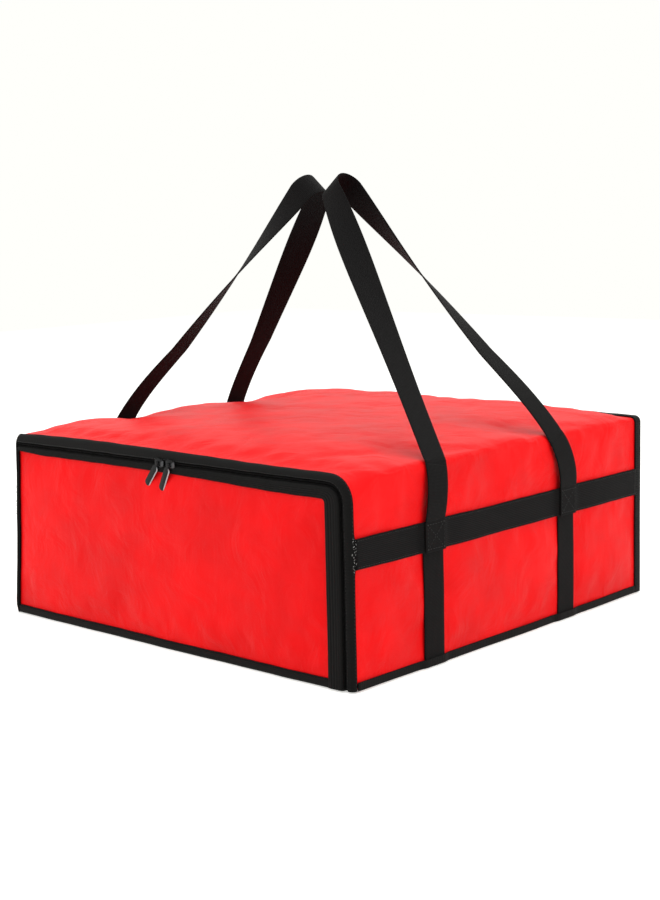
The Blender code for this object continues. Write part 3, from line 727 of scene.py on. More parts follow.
class CARRIER_OT_stage(Operator):
    """Set the camera, the lamps, the floor and the backdrop"""

    bl_idname = "carrier.stage"
    bl_label = "Stage"

    def execute(self, context):
        ahead = Vector((math.sin(YAW) * math.cos(PITCH), math.cos(YAW) * math.cos(PITCH), -math.sin(PITCH)))
        right = Vector((math.cos(YAW), -math.sin(YAW), 0))
        up = right.cross(ahead)
        turned = right * math.cos(ROLL) + up * math.sin(ROLL)
        upright = up * math.cos(ROLL) - right * math.sin(ROLL)
        data = bpy.data.cameras.new("camera")
        data.sensor_width = SENSOR
        data.lens = LENS
        camera = new_object("camera", data)
        camera.matrix_world = Matrix((*zip(turned, upright, -ahead, EYE), (0, 0, 0, 1)))
        context.scene.camera = camera

        for name, (place, aim, power, width) in LAMPS.items():
            lamp = bpy.data.lights.new(name, "AREA")
            lamp.energy = power
            lamp.size = width
            holder = new_object(name, lamp)
            holder.location = place
            holder.rotation_euler = (Vector(aim) - Vector(place)).to_track_quat("-Z", "Y").to_euler()

        background = (*colours().background, 1.0)
        world = bpy.data.worlds.new("studio")
        world.use_nodes = True
        tree = world.node_tree
        tree.nodes.clear()
        light = add_node(tree, "ShaderNodeBackground", {"Color": (1, 1, 1, 1), "Strength": WORLD_STRENGTH})
        shown = add_node(tree, "ShaderNodeBackground", {"Color": background, "Strength": 1.0})
        mix = add_node(tree, "ShaderNodeMixShader", {0: seen(tree), 1: light.outputs[0], 2: shown.outputs[0]})
        add_node(tree, "ShaderNodeOutputWorld", {"Surface": mix.outputs[0]})
        context.scene.world = world

        floor = grid_piece("floor", [[(x, y, FLOOR_LEVEL) for x in (-FLOOR_HALF, FLOOR_HALF)]
                                     for y in (-FLOOR_HALF, FLOOR_HALF)])
        material = bpy.data.materials.new("pale_floor")
        material.use_nodes = True
        tree = material.node_tree
        tree.nodes.clear()
        matte = add_node(tree, "ShaderNodeBsdfDiffuse", {"Color": FLOOR_COLOUR})
        lift = add_node(tree, "ShaderNodeMath", {0: seen(tree), 1: FLOOR_GLOW}, operation="MULTIPLY")
        glow = add_node(tree, "ShaderNodeEmission", {"Color": background, "Strength": lift.outputs[0]})
        both = add_node(tree, "ShaderNodeAddShader", {0: matte.outputs[0], 1: glow.outputs[0]})
        add_node(tree, "ShaderNodeOutputMaterial", {"Surface": both.outputs[0]})
        floor.data.materials.append(material)
        context.scene.view_settings.view_transform = "Standard"
        return {"FINISHED"}


class CARRIER_OT_wrap(Operator):
    """Make the red fabric that goes up one side, over the top and down the other"""

    bl_idname = "carrier.wrap"
    bl_label = "Red wrap"

    def execute(self, context):
        rows = []
        ys = np.linspace(TAPE_BACK - 0.001, BACK - 0.0012, 64)
        for y in ys:
            radii = radii_at(y)
            tuck = 0.0012 * (1 - rise(y, TAPE_BACK, TAPE_BACK + 0.004))
            fade = rise(y, FRONT + 0.008, FRONT + 0.04) * (1 - rise(y, BACK - 0.022, BACK - 0.009))
            row = []
            for x, z in hoop(0.0004 + tuck, radii, 0.0012):
                name = "left" if x < 0 else "right"
                radius = radii[int(x > 0)]
                side = np.clip((HEIGHT - radius - z) / 0.02, 0, 1)
                over = rise(z, HEIGHT - radius * 0.5, HEIGHT - 0.0015)
                crumple = sizes().crumple * (ruffle((x, y, z), 17, 2.0) + 0.5 * ruffle((x, y, z), 41, 7.0)) * fade
                crumple *= 1 - under_fold(name, x, y) * over
                out = (side_swell(name, y, z) * fade + crumple) * side * SIDES[name]
                row.append((x + out, y, z + (top_crown(x, y) * fade + crumple) * over))
            rows.append(row)
        obj = grid_piece("red_wrap", rows)
        points = np.array(rows)
        pinned = sewn_edges(*points.shape[:2], 3)
        on_side = points[..., 2] < HEIGHT - 0.02
        near_band = abs(points[..., 2] - BAND_MIDDLE) < WEB_WIDTH / 2 + 0.004
        near_strap = np.zeros_like(pinned)
        for name, side in SIDES.items():
            for y in STRAP_Y[name].values():
                near_strap |= (side * points[..., 0] > 0) & (abs(points[..., 1] - y) < WEB_WIDTH / 2 + 0.006)
        pinned |= on_side & (near_band | (near_strap & (points[..., 2] < BAND_TOP + 0.004)))
        pinned |= near_strap & (points[..., 2] < HEIGHT - 0.001) & (abs(points[..., 0]) > HALF - 0.03)
        for name, side in SIDES.items():
            pinned |= ~on_side & (side * points[..., 0] > 0) & (under_fold(name, *points[..., :2].T).T > 0.4)
        settle(obj, pinned, pressure=1.2, cap=0.0026)
        thicken(obj, sizes().fabric, offset=-1.0, smooth=True)
        dress(obj, "red_fabric", "bag", ["outer_wrap"])
        return {"FINISHED"}


def panel_grid(x_span, z_span, steps):
    """Rows of (x, z), or (x, y), over a rectangle."""
    xs = np.linspace(*x_span, steps[0])
    zs = np.linspace(*z_span, steps[1])
    return [[(x, z) for x in xs] for z in zs]


def raise_left(points, top):
    """Raise (x, z) points of the flap towards its upper left corner, where the border is narrower."""
    points = np.array(points, float)
    wide = 0.0050 * (1 - rise(points[..., 0], -0.05, 0.20))
    near = 0.0028 * (1 - rise(points[..., 0], -HALF, -HALF + 0.06))
    points[..., 1] += (wide + near) * np.clip(points[..., 1] / top, 0, 1) ** 4
    return points


def round_corner(x, z):
    """Draw a point of the flap in from its rounded upper right corner."""
    radius = MOUTH_RADII[1] - FLAP_INSET
    middle = Vector((FLAP_HIGH.x - radius, FLAP_HIGH.z - radius))
    away = Vector((x, z)) - middle
    if min(away) > 0 and away.length > radius - 0.0010:
        away.length = radius - 0.0010
        return tuple(middle + away)
    return x, z


def pillow(share_x, share_z, power=2.6):
    """Swell of a panel held at its edges, from shares between -1 and 1."""
    return max(0.0, (1 - abs(share_x) ** power)) ** 0.75 * max(0.0, (1 - abs(share_z) ** power)) ** 0.75


class CARRIER_OT_panels(Operator):
    """Make the red panels of the back and the base"""

    bl_idname = "carrier.panels"
    bl_label = "Back and base"

    def execute(self, context):
        half, top = HALF - 0.004, HEIGHT - 0.004
        swell = sizes().back_swell
        rows = [[(x, BACK + swell * pillow(x / half, 2 * z / top - 1), z) for x, z in row]
                for row in panel_grid((-half, half), (0.0015, top), BACK_STEPS)]
        back = grid_piece("red_back", rows)
        settle(back, sewn_edges(*BACK_STEPS[::-1]), pressure=-0.6, cap=0.0022)
        thicken(back, sizes().fabric, offset=-1.0, smooth=True)
        dress(back, "red_fabric", "bag", ["outer_back"])

        half = HALF - 0.0042
        rows = [[(x, y, 0.0002 + 0.0004 * (1 + ruffle((x, y, 0), 22, 5.0)) * pillow(x / half, y / BACK))
                 for x in np.linspace(-half, half, 60)] for y in np.linspace(BODY_FRONT, BACK - 0.0006, 58)]
        base = grid_piece("red_base", rows)
        thicken(base, BASE_CLOTH, offset=1.0)
        dress(base, "red_fabric", "bag", ["outer_base"])
        return {"FINISHED"}


class CARRIER_OT_foam(Operator):
    """Make the foam boards between the fabric and the lining"""

    bl_idname = "carrier.foam"
    bl_label = "Foam boards"

    def execute(self, context):
        outer, inner = 0.0033, 0.0062
        depth = (BODY_FRONT + 0.0005, BACK - outer)
        boards = {
            "top": ((-HALF + 0.025, HALF - 0.025), depth, (HEIGHT - inner, HEIGHT - outer)),
            "left": ((-HALF + outer, -HALF + inner), depth, (INNER_FOOT, HEIGHT - 0.025)),
            "right": ((HALF - inner, HALF - outer), depth, (INNER_FOOT, HEIGHT - 0.025)),
            "base": ((-HALF + 0.003, HALF - 0.003), depth, (0.0020, 0.0060)),
            "back": ((-HALF + 0.008, HALF - 0.008), (BACK - inner, BACK - outer), (INNER_FOOT, HEIGHT - 0.0085)),
        }
        for name, spans in boards.items():
            obj = self.board(f"foam_board_{name}", spans)
            dress(obj, "white_foam", "bag", [f"foam_{name}"])
        flap = ((FLAP_LOW.x + 0.001, FLAP_HIGH.x - 0.001), (FRONT + 0.0027, FRONT + 0.0074),
                (0.0015, FLAP_HIGH.z - 0.001))
        obj = self.board("foam_board_flap", flap, round_corner)
        dress(obj, "white_foam", "flap", ["flap_foam"])
        return {"FINISHED"}

    def board(self, name, spans, trim=None):
        """A board with soft edges, whose points may be trimmed as (x, z)."""
        block = bmesh.new()
        bmesh.ops.create_cube(block, size=1.0)
        bmesh.ops.scale(block, vec=[high - low for low, high in spans], verts=block.verts)
        bmesh.ops.translate(block, vec=[(low + high) / 2 for low, high in spans], verts=block.verts)
        for axis, (low, high) in enumerate(spans):
            cuts = int((high - low) / 0.02)
            for cut in range(1, cuts):
                spot = [(low + (high - low) * cut / cuts) * (k == axis) for k in range(3)]
                bmesh.ops.bisect_plane(block, geom=[*block.verts, *block.edges, *block.faces], plane_co=spot,
                                       plane_no=[float(k == axis) for k in range(3)])
        for vert in block.verts if trim else ():
            vert.co.x, vert.co.z = trim(vert.co.x, vert.co.z)
        mesh = bpy.data.meshes.new(name)
        block.to_mesh(mesh)
        block.free()
        return plain(new_object(name, mesh), ("BEVEL", {"width": 0.0014, "segments": 3}))


class CARRIER_OT_lining(Operator):
    """Make the crinkled silver lining"""

    bl_idname = "carrier.lining"
    bl_label = "Silver lining"

    def execute(self, context):
        rear = BACK - WALL - 0.0004
        rows = []
        for y in np.linspace(LINING_FRONT, rear, 60):
            row = []
            for x, z in hoop(WALL - 0.0004, radii_at(y), INNER_FOOT):
                inward = 0.0007 * (1 + ruffle((x, y, z), LINING_CREASES, 9.0))
                row.append((x * (1 - inward / HALF), y, z - inward * rise(z, HEIGHT - 0.03, HEIGHT - 0.012)))
            rows.append(row)
        wrap = grid_piece("lining_wrap", rows)
        half = HALF - WALL - 0.001
        rows = [[(x, y, 0.0068 + 0.0005 * (1 + ruffle((x, y, 0), LINING_CREASES, 4.0))) for x, y in row]
                for row in panel_grid((-half, half), (LINING_FRONT, rear), (66, 62))]
        base = grid_piece("lining_base", rows)
        rows = [[(x, rear - 0.0005 * (1 + ruffle((x, 0, z), LINING_CREASES, 6.0)), z) for x, z in row]
                for row in panel_grid((-half, half), (INNER_FOOT, HEIGHT - 0.009), (66, 30))]
        back = grid_piece("lining_back", rows)
        half_flap, top = FLAP_HIGH.x - 0.0006, FLAP_HIGH.z - 0.0006
        rows = [[(x, FLAP_BACK - 0.0002 - 0.0003 * (1 + ruffle((x, 0, z), LINING_CREASES, 8.0)), z)
                 for x, z in (round_corner(*p) for p in row)]
                for row in panel_grid((-half_flap, half_flap), (0.001, top), (64, 28))]
        flap = grid_piece("flap_lining", rows)
        for obj, body, node, flat, under in (
                (wrap, "bag", "foil_wrap", (0.87, rear - BODY_FRONT), WALL_BOARDS),
                (base, "bag", "foil_base", (2 * half, rear - BODY_FRONT), ["foam_board_base"]),
                (back, "bag", "foil_back", (2 * half, HEIGHT - 0.009 - INNER_FOOT), ["foam_board_back"]),
                (flap, "flap", "flap_foil", (2 * half_flap, top), ["foam_board_flap"])):
            thicken(obj, LINING_FILM)
            dress(obj, "silver_foil", body, [node])
        return {"FINISHED"}


def sweep(name, section, radii, foot, lump=0.0):
    """Sweep a closed section of (inset, y) points round the mouth, with a lump over the bands' ends."""
    rows = []
    for inset, y in section:
        outside = rise(y, FRONT, FRONT + 0.005) * (inset < 0.003)
        row = []
        for x, z in hoop(inset, radii, foot):
            over = (1 - rise(abs(z - BAND_MIDDLE), 0.011, 0.020)) * outside
            row.append((x + math.copysign(lump, x) * over, y, z))
        rows.append(row)
    return face_outwards(grid_piece(name, np.array(rows).transpose(1, 0, 2), around=True, caps=True))


def mouth_line(inset, y, radii=MOUTH_RADII, foot=0.004):
    """A line of points round the mouth."""
    return [(x, y, z) for x, z in hoop(inset, radii, foot)]


def wall_tape(name, label, path, bottom, top, thickness):
    """Tape that stands along a side and follows its swell, from (y, distance out) points."""
    ys = np.array([p[0] for p in path])
    outs = np.array([p[1] for p in path])
    fine = np.linspace(ys[0], ys[-1], 150)
    middle = (bottom + top) / 2
    out = np.interp(fine, ys, outs) + side_swell(name, fine, np.full_like(fine, middle))
    out = np.convolve(np.pad(out, 1, mode="edge"), (0.25, 0.5, 0.25), mode="valid")
    centres = np.stack([SIDES[name] * (HALF + out), fine, np.full_like(fine, middle)], 1)
    across = np.tile((0, 0, 1.0), (len(fine), 1))
    return webbing(f"{name}_{label}", centres, across, top - bottom, thickness)


def over_straps(name, start, end, low, high):
    """Path of (y, distance out) points along a side, raised where it crosses a strap."""
    flat = WEB_WIDTH / 2 + WEB_THICKNESS
    path = [(start, low)]
    for middle in STRAP_Y[name].values():
        path += [(middle - flat - 0.003, low), (middle - flat, high), (middle + flat, high),
                 (middle + flat + 0.003, low)]
    return path + [(end, low)]


class CARRIER_OT_bindings(Operator):
    """Make the tape round the mouth, the back and the feet of the sides"""

    bl_idname = "carrier.bindings"
    bl_label = "Bindings"

    def execute(self, context):
        proud = -0.0005
        bend = BINDING_WIDTH * 0.8
        turn = [math.pi + math.pi / 2 * i / 6 for i in range(7)]
        section = [(BINDING_WIDTH, FLAP_BACK), (0.0030, FLAP_BACK), (0.0026, TAPE_BACK + 0.0004),
                   (proud + 0.0004, TAPE_BACK + 0.0006), (proud, TAPE_BACK)]
        section += [(bend + (bend - proud) * math.cos(a), FRONT + bend + bend * math.sin(a)) for a in turn]
        section += [(BINDING_WIDTH - 0.0006, FRONT + 0.0001), (BINDING_WIDTH, FRONT + 0.0008)]
        mouth = sweep("mouth_tape", section, MOUTH_RADII, FLOOR_GAP, 0.0013)
        dress(mouth, "black_binding", "bag", ["mouth_binding"])

        out = -0.0014
        section = [(-0.0002, BACK - BACK_BINDING_WIDTH), (out + 0.0003, BACK - BACK_BINDING_WIDTH - 0.0002),
                   (out, BACK - BACK_BINDING_WIDTH + 0.0006), (out, BACK - 0.0005),
                   (out + 0.0007, BACK + 0.0010), (0.0008, BACK + 0.0015),
                   (BACK_BINDING_WIDTH - 0.0006, BACK + 0.0015), (BACK_BINDING_WIDTH, BACK + 0.0008),
                   (BACK_BINDING_WIDTH - 0.0004, BACK + 0.0002), (0.0004, BACK + 0.0002)]
        rear = sweep("back_tape", section, BACK_RADII, FLOOR_GAP)
        half = HALF - BACK_BINDING_WIDTH + 0.002
        xs = np.linspace(-half, half, 60)
        foot = webbing("back_tape_foot", [(x, BACK + 0.00085, FLOOR_GAP + BACK_BINDING_WIDTH / 2) for x in xs],
                       [(0, 0, 1)] * 60, BACK_BINDING_WIDTH, 0.0013)
        rear = join("back_tape", [rear, foot])
        dress(rear, "black_binding", "bag", ["back_binding"])

        for name in SIDES:
            path = over_straps(name, MOUTH_BACK, BAND_REAR, 0.0008, 0.0026)
            tape = wall_tape(name, "foot_tape", path, FLOOR_GAP, FOOT_BINDING_TOP, 0.001)
            dress(tape, "black_binding", "bag", [f"{name}_foot_binding"])
        return {"FINISHED"}


class CARRIER_OT_flap(Operator):
    """Make the flap's red panel, its black border and the strips that it turns on"""

    bl_idname = "carrier.flap"
    bl_label = "Flap"

    def execute(self, context):
        left_border, tuck = 0.0022, 0.002
        low_x, high_x = FLAP_LOW.x + left_border - tuck, FLAP_HIGH.x - FLAP_BORDER + tuck
        low_z, high_z = FLAP_FOOT_BORDER - tuck, FLAP_HIGH.z - FLAP_TOP_BORDER + tuck
        middle_x, middle_z = (low_x + high_x) / 2, (low_z + high_z) / 2
        half_x, half_z = (high_x - low_x) / 2, (high_z - low_z) / 2
        surface = FRONT + 0.0014
        swell = sizes().flap_swell
        rows = []
        for row in panel_grid((low_x, high_x), (low_z, high_z), FLAP_STEPS):
            rows.append([])
            for x, z in row:
                crumple = sizes().crumple * (ruffle((x, 0, z), 15, 3.0) + 0.4 * ruffle((x, 0, z), 38, 6.0))
                out = (swell + crumple) * pillow((x - middle_x) / half_x, (z - middle_z) / half_z)
                rows[-1].append((x, surface - out, raise_left((x, z), high_z)[1]))
        panel = grid_piece("red_flap", rows)
        settle(panel, sewn_edges(*FLAP_STEPS[::-1]), pressure=0.8, cap=0.0026)
        thicken(panel, sizes().fabric, offset=-1.0, smooth=True)
        dress(panel, "red_fabric", "flap", ["flap_fabric"])

        deep = FLAP_INSET + FLAP_TOP_BORDER
        outer = hoop(FLAP_INSET, MOUTH_RADII, FLOOR_GAP)
        inner = hoop(deep, (deep + 0.002, deep + 0.004), FLOOR_GAP)
        inner[:, 0] = np.interp(inner[:, 0], (deep - HALF, HALF - deep),
                                (FLAP_LOW.x + left_border, FLAP_HIGH.x - FLAP_BORDER))
        inner = raise_left(inner, HEIGHT - deep)
        steps = 20
        rows = [[(x, y, z) for x, z in outer] for y in (FLAP_BACK - 0.0004, FRONT + 0.0012)]
        for step in range(steps + 1):
            share = step / steps
            rib = 0.0005 * (1 + math.cos(2 * math.pi * share * 5)) / 2
            edge = 0.0007 * (rise(abs(2 * share - 1), 0.9, 1.0))
            rows.append([(x, FRONT - 0.0003 - rib + edge, z) for x, z in outer + (inner - outer) * share])
        border = grid_piece("flap_frame", rows)
        half = FLAP_HIGH.x - 0.0008
        foot_rows = []
        for share in np.linspace(0, 1, 7):
            y = FRONT - 0.0004 + 0.0006 * rise(abs(2 * share - 1), 0.7, 1.0)
            foot_rows.append([(x, y, FLOOR_GAP + FLAP_FOOT_BORDER * share) for x in np.linspace(-half, half, 70)])
        foot = grid_piece("flap_frame_foot", foot_rows)
        border = join("flap_frame", [border, foot])
        thicken(border, BORDER_TAPE, offset=-1.0)
        dress(border, "black_binding", "flap", ["flap_border"])

        path = [(BODY_FRONT + 0.006, 0.0003), (FRONT + 0.003, 0.0002), (FRONT + 0.0004, 0.0005),
                (FRONT - 0.0006, 0.0016), (FRONT - 0.0009, 0.0045), (FRONT - 0.0009, 0.0080)]
        self.strip("hinge_tape", path, HALF - 0.012, thickness=0.0004, width=0.0222, lies_on="flap_frame",
                   start=(0, FRONT + 0.003, 0.0), end=(0, FRONT - 0.0006, 0.003))
        near, far = BODY_FRONT + 0.0001, FLAP_BACK
        low, high = 0.0010, 0.0083
        path = [(near + 0.004, high), (near, high), (near, low), (far, low), (far, high), (far, 0.0130)]
        self.strip("hinge_gusset", path, HALF - WALL - 0.001, thickness=0.0002, width=0.0237,
                   lies_on="flap_lining", start=(0, near, 0), end=(0, far, 0))
        return {"FINISHED"}

    def strip(self, name, path, half, thickness, width, lies_on, start, end):
        """A strip along (y, z) points that joins the bag to the flap; start and end are not used."""
        ys, zs = (np.interp(np.linspace(0, 5, 26), range(6), [p[k] for p in path]) for k in (0, 1))
        rows = [[(x, y, z) for x in np.linspace(-half, half, 60)] for y, z in zip(ys, zs)]
        obj = grid_piece(name, rows)
        thicken(obj, thickness)
        dress(obj, "black_binding")
        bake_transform(obj)


class CARRIER_OT_zip(Operator):
    """Make the two rows of the zip's coil with their tapes"""

    bl_idname = "carrier.zip"
    bl_label = "Zip"

    def execute(self, context):
        pitch = sizes().tooth_pitch
        middle = FRONT + 0.0020
        rows = (("zip_row_mouth", "bag", "zip_coil_mouth", BINDING_WIDTH + CLEARANCE, 0.0),
                ("zip_row_flap", "flap", "zip_coil_flap", CHAIN_INSET + CLEARANCE / 2, 0.5))
        for name, body, node, outer, shift in rows:
            inset = outer + COIL_WIDTH / 2
            line = mouth_line(inset, middle, foot=0.002 + shift * pitch)
            teeth = beads(f"{name}_teeth", [line], pitch, TOOTH_SIZE, "zip_coil", uneven=0.03)
            section = [(outer, middle + 0.0018), (outer, middle + 0.0010), (outer + COIL_WIDTH, middle + 0.0010),
                       (outer + COIL_WIDTH, middle + 0.0018)]
            tape = sweep(f"{name}_tape", section, MOUTH_RADII, FLOOR_GAP)
            obj = join(name, [teeth, tape])
            dress(obj, "zip_coil", body, [node])
        return {"FINISHED"}


class CARRIER_OT_sides(Operator):
    """Make the bands, the lower straps and the sewn ends of the handles"""

    bl_idname = "carrier.sides"
    bl_label = "Side webbing"

    def execute(self, context):
        low, high = web_out(1) - HALF, web_out(2) - HALF
        for name in SIDES:
            path = over_straps(name, MOUTH_BACK, BAND_REAR, low, high)
            band = wall_tape(name, "web_band", path, BAND_BOTTOM, BAND_TOP, WEB_THICKNESS)
            dress(band, "black_webbing", "bag", [f"{name}_band"])
            for place in PLACES:
                self.upright(name, place, "web_strap", 1, FLOOR_GAP, BAND_TOP - 0.0004, "strap")
                self.upright(name, place, "web_end", 3, BAND_BOTTOM, BAND_TOP, "handle_end")
        return {"FINISHED"}

    def upright(self, name, place, label, level, bottom, top, node):
        """A strap that stands on a side at one of its layers."""
        zs = np.linspace(bottom, top, 50)
        ys = np.full_like(zs, STRAP_Y[name][place])
        out = web_out(level) + side_swell(name, ys, zs)
        obj = webbing(f"{name}_{place}_{label}", np.stack([SIDES[name] * out, ys, zs], 1),
                      np.tile((0, 1.0, 0), (len(zs), 1)))
        dress(obj, "black_webbing", "bag", [f"{name}_{place}_{node}"])


def fold_place():
    """Inner and middle points of the webbing at the fold, as (x, z) on the right side."""
    corner = Vector((HALF - EDGE_RADIUS, HEIGHT - EDGE_RADIUS))
    inner = corner + Vector((math.cos(FOLD_DIRECTION), math.sin(FOLD_DIRECTION))) * (EDGE_RADIUS + FOLD_CLEARANCE)
    return inner, inner + Vector((math.cos(FOLD_LEAN), math.sin(FOLD_LEAN))) * WEB_THICKNESS / 2


def riser_points(name, place, shares):
    """Middle line of a riser at shares of its way up, settled with the bag at its foot and not at its fold."""
    y = STRAP_Y[name][place]
    swell = float(side_swell(name, y, BAND_TOP))
    start, end = Vector((web_out(3), BAND_TOP)), fold_place()[1]
    climb = end.y - start.y
    first = start + Vector((RISER_BULGES[place], climb * RISER_SHARES[0]))
    last = end - Vector((-math.sin(FOLD_LEAN), math.cos(FOLD_LEAN))) * climb * RISER_SHARES[1]
    points = []
    for t in shares:
        weights = ((1 - t) ** 3, 3 * t * (1 - t) ** 2, 3 * t * t * (1 - t), t ** 3)
        p = sum((q * w for q, w in zip((start, first, last, end), weights)), Vector((0, 0)))
        lean = TOWARDS_MIDDLE[place] * RISER_LEANS[name][place] * ((p.y - start.y) / climb) ** 1.5
        point = np.array((SIDES[name] * (p.x + swell * (1 - t) ** 2), y + lean, p.y))
        points.append(tuple(point + (sag(point) - point) * (1 - t) ** 2))
    return points


class CARRIER_OT_handles(Operator):
    """Make the risers and the twisted loops of both handles"""

    bl_idname = "carrier.handles"
    bl_label = "Handles"

    def execute(self, context):
        for name, side in SIDES.items():
            for place in PLACES:
                centres = riser_points(name, place, np.linspace(0, RISER_END, 30))
                riser = webbing(f"{name}_{place}_web_riser", centres, [(0, 1, 0)] * len(centres))
                dress(riser, "black_webbing", nodes=[f"{name}_{place}_riser"], soft=False)
                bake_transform(riser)
            self.loop(name, side)
        return {"FINISHED"}

    def loop(self, name, side):
        """One loop, whose legs each turn a quarter on the way to the crown."""
        inner, _ = fold_place()
        run_in, climb = inner.x - CROWN_OUTS[name], CROWN_RISE
        lean, reach = math.atan2(run_in, climb), math.hypot(run_in, climb)
        up = Vector((-side * math.sin(lean), 0, math.cos(lean)))
        outward = Vector((side * math.cos(lean), 0, math.sin(lean)))
        along = Vector((0, 1, 0))
        origin = Vector((side * inner.x, 0, inner.y)) + outward * WEB_THICKNESS / 2
        crown = Vector((CROWN_YS[name], reach - CROWN_RADIUS))
        legs, ends = {}, {}
        for place, y in zip(PLACES, fold_feet(name)):
            turn = TOWARDS_MIDDLE[place]
            foot = Vector((y, CLEARANCE))
            way = crown - foot
            heading = math.atan2(way.y, way.x) + turn * math.asin(CROWN_RADIUS / way.length)
            run = Vector((math.cos(heading), math.sin(heading)))
            length = math.sqrt(way.length ** 2 - CROWN_RADIUS ** 2)
            ends[place] = heading + turn * math.pi / 2
            leg = []
            for travel in np.linspace(0.004, length, 80):
                twist = math.pi / 2 * (travel / length) ** TWIST_POWER
                square = min(travel / FOOT_BLEND, 1.0)
                flat = Vector((1, 0)).lerp(Vector((run.y, -run.x)), square).normalized()
                bow = LEG_BOWS[name][place] * math.sin(math.pi * min(travel / LEG_BOW_LENGTH, 1.0) ** 0.75)
                leg.append((foot + run * travel, flat, twist, turn, bow))
            legs[place] = leg
        arch = []
        for step in range(1, 30):
            angle = ends["front"] + (ends["rear"] - ends["front"]) * step / 30
            away = Vector((math.cos(angle), math.sin(angle)))
            arch.append((crown + away * CROWN_RADIUS, Vector((away.y, -away.x)), math.pi / 2, 1, 0.0))
        centres, across = [], []
        for p, flat, twist, turn, bow in legs["front"] + arch + legs["rear"][::-1]:
            lie = along * flat.x + up * flat.y
            centres.append(origin + along * p.x + up * p.y + outward * bow)
            across.append(lie * (math.cos(twist) * turn) + outward * math.sin(twist))
        shares = np.linspace(RISER_END, 0.985, 5)
        front = riser_points(name, "front", shares)
        rear = riser_points(name, "rear", shares)[::-1]
        centres = front + [tuple(c) for c in centres] + rear
        across = [(0, 1, 0)] * 5 + [tuple(a) for a in across] + [(0, -1, 0)] * 5
        obj = webbing(f"{name}_web_loop", centres, across)
        dress(obj, "black_webbing", nodes=[f"{name}_loop"], soft=False)
        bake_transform(obj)


class CARRIER_OT_sliders(Operator):
    """Make the two zip sliders and their pull tabs"""

    bl_idname = "carrier.sliders"
    bl_label = "Sliders and pulls"

    def execute(self, context):
        z = HEIGHT - CHAIN_INSET
        for name in SIDES:
            x = SLIDER_X[name]
            # The slider's plate gets a faint painted highlight along its far rim
            plate = self.plate(f"{name}_zip_slider_plate", self.slider_outline(), METAL_PLATE, 0.0004,
                               Matrix.Translation((x, FRONT - 0.0018, z)), highlight_share=0.12)
            slant = Matrix.Translation((x, 0, z)) @ Matrix.Rotation(PULL_SLANTS[name], 4, "Y")
            arch = [(-0.0026, FRONT - 0.0022), (-0.0025, FRONT - 0.0042), (-0.0014, FRONT - 0.0050),
                    (0.0014, FRONT - 0.0050), (0.0025, FRONT - 0.0042), (0.0026, FRONT - 0.0022)]
            bridge = self.rod(f"{name}_zip_slider_bridge", [slant @ Vector((a, y, 0)) for a, y in arch], 0.0006)
            slider = join(f"{name}_zip_slider", [plate, bridge])
            dress(slider, "black_metal", f"{name}_slider", [f"{name}_slider"], soft=False)

            pivot = FRONT - 0.0043
            hang = Matrix.Translation((x, pivot, z)) @ Matrix.Rotation(PULL_SLANTS[name], 4, "Y")
            hang = hang @ Matrix.Rotation(PULL_TILT, 4, "X")
            # The pull tab gets a full painted highlight along its far rim
            tab = self.plate(f"{name}_zip_pull_plate", self.tab_outline(), METAL_PLATE, 0.0007, hang,
                             highlight_share=1.0)
            eye_points = [hang @ Vector((a, 0, 0)) for a in (-0.0013, 0, 0.0013)]
            eye = self.rod(f"{name}_zip_pull_eye", eye_points, 0.0016)
            pull = join(f"{name}_zip_pull", [tab, eye])
            dress(pull, "black_metal", f"{name}_pull", [f"{name}_pull_tab"], soft=False)
        return {"FINISHED"}

    def slider_outline(self):
        """Outline of a slider's front plate, wide at one end and waisted at the other."""
        half = [(-0.0062, 0.0034), (-0.0050, 0.0050), (-0.0020, 0.0054), (0.0016, 0.0044), (0.0046, 0.0036),
                (0.0062, 0.0024)]
        return half + [(a, -b) for a, b in half[::-1]]

    def tab_outline(self):
        """Outline of a pull tab, narrow at its eye and round at its tip."""
        half, tip, neck = 0.0039, -0.0313, -0.0060
        turn = [-math.pi * i / 14 for i in range(15)]
        round_end = [(half * math.cos(a), tip + half + half * math.sin(a)) for a in turn]
        return [(0.0016, 0.0006), (0.0016, -0.0030), (half, neck)] + round_end + [
            (-half, neck), (-0.0016, -0.0030), (-0.0016, 0.0006)]

    def plate(self, name, outline, thickness, edge, place, highlight_share=0.0):
        """A flat plate with rounded edges, set in its place."""
        curve = self.curve(name, [(a, b, 0) for a, b in outline], dimensions="2D", fill_mode="BOTH", offset=-edge,
                           extrude=thickness / 2 - edge, bevel_depth=edge, bevel_resolution=2)
        curve.splines[0].use_cyclic_u = True
        return self.set_down(name, curve, place @ Matrix.Rotation(math.pi / 2, 4, "X"), highlight_share)

    def rod(self, name, points, radius):
        """A round rod through points."""
        curve = self.curve(name, points, dimensions="3D", bevel_depth=radius, bevel_resolution=4,
                           use_fill_caps=True)
        return self.set_down(name, curve, Matrix.Identity(4))

    def curve(self, name, points, **settings):
        """A curve of straight runs through points."""
        curve = bpy.data.curves.new(name, "CURVE")
        for key, value in settings.items():
            setattr(curve, key, value)
        spline = curve.splines.new("POLY")
        spline.points.add(len(points) - 1)
        for point, p in zip(spline.points, points):
            point.co = (*p, 1)
        return curve

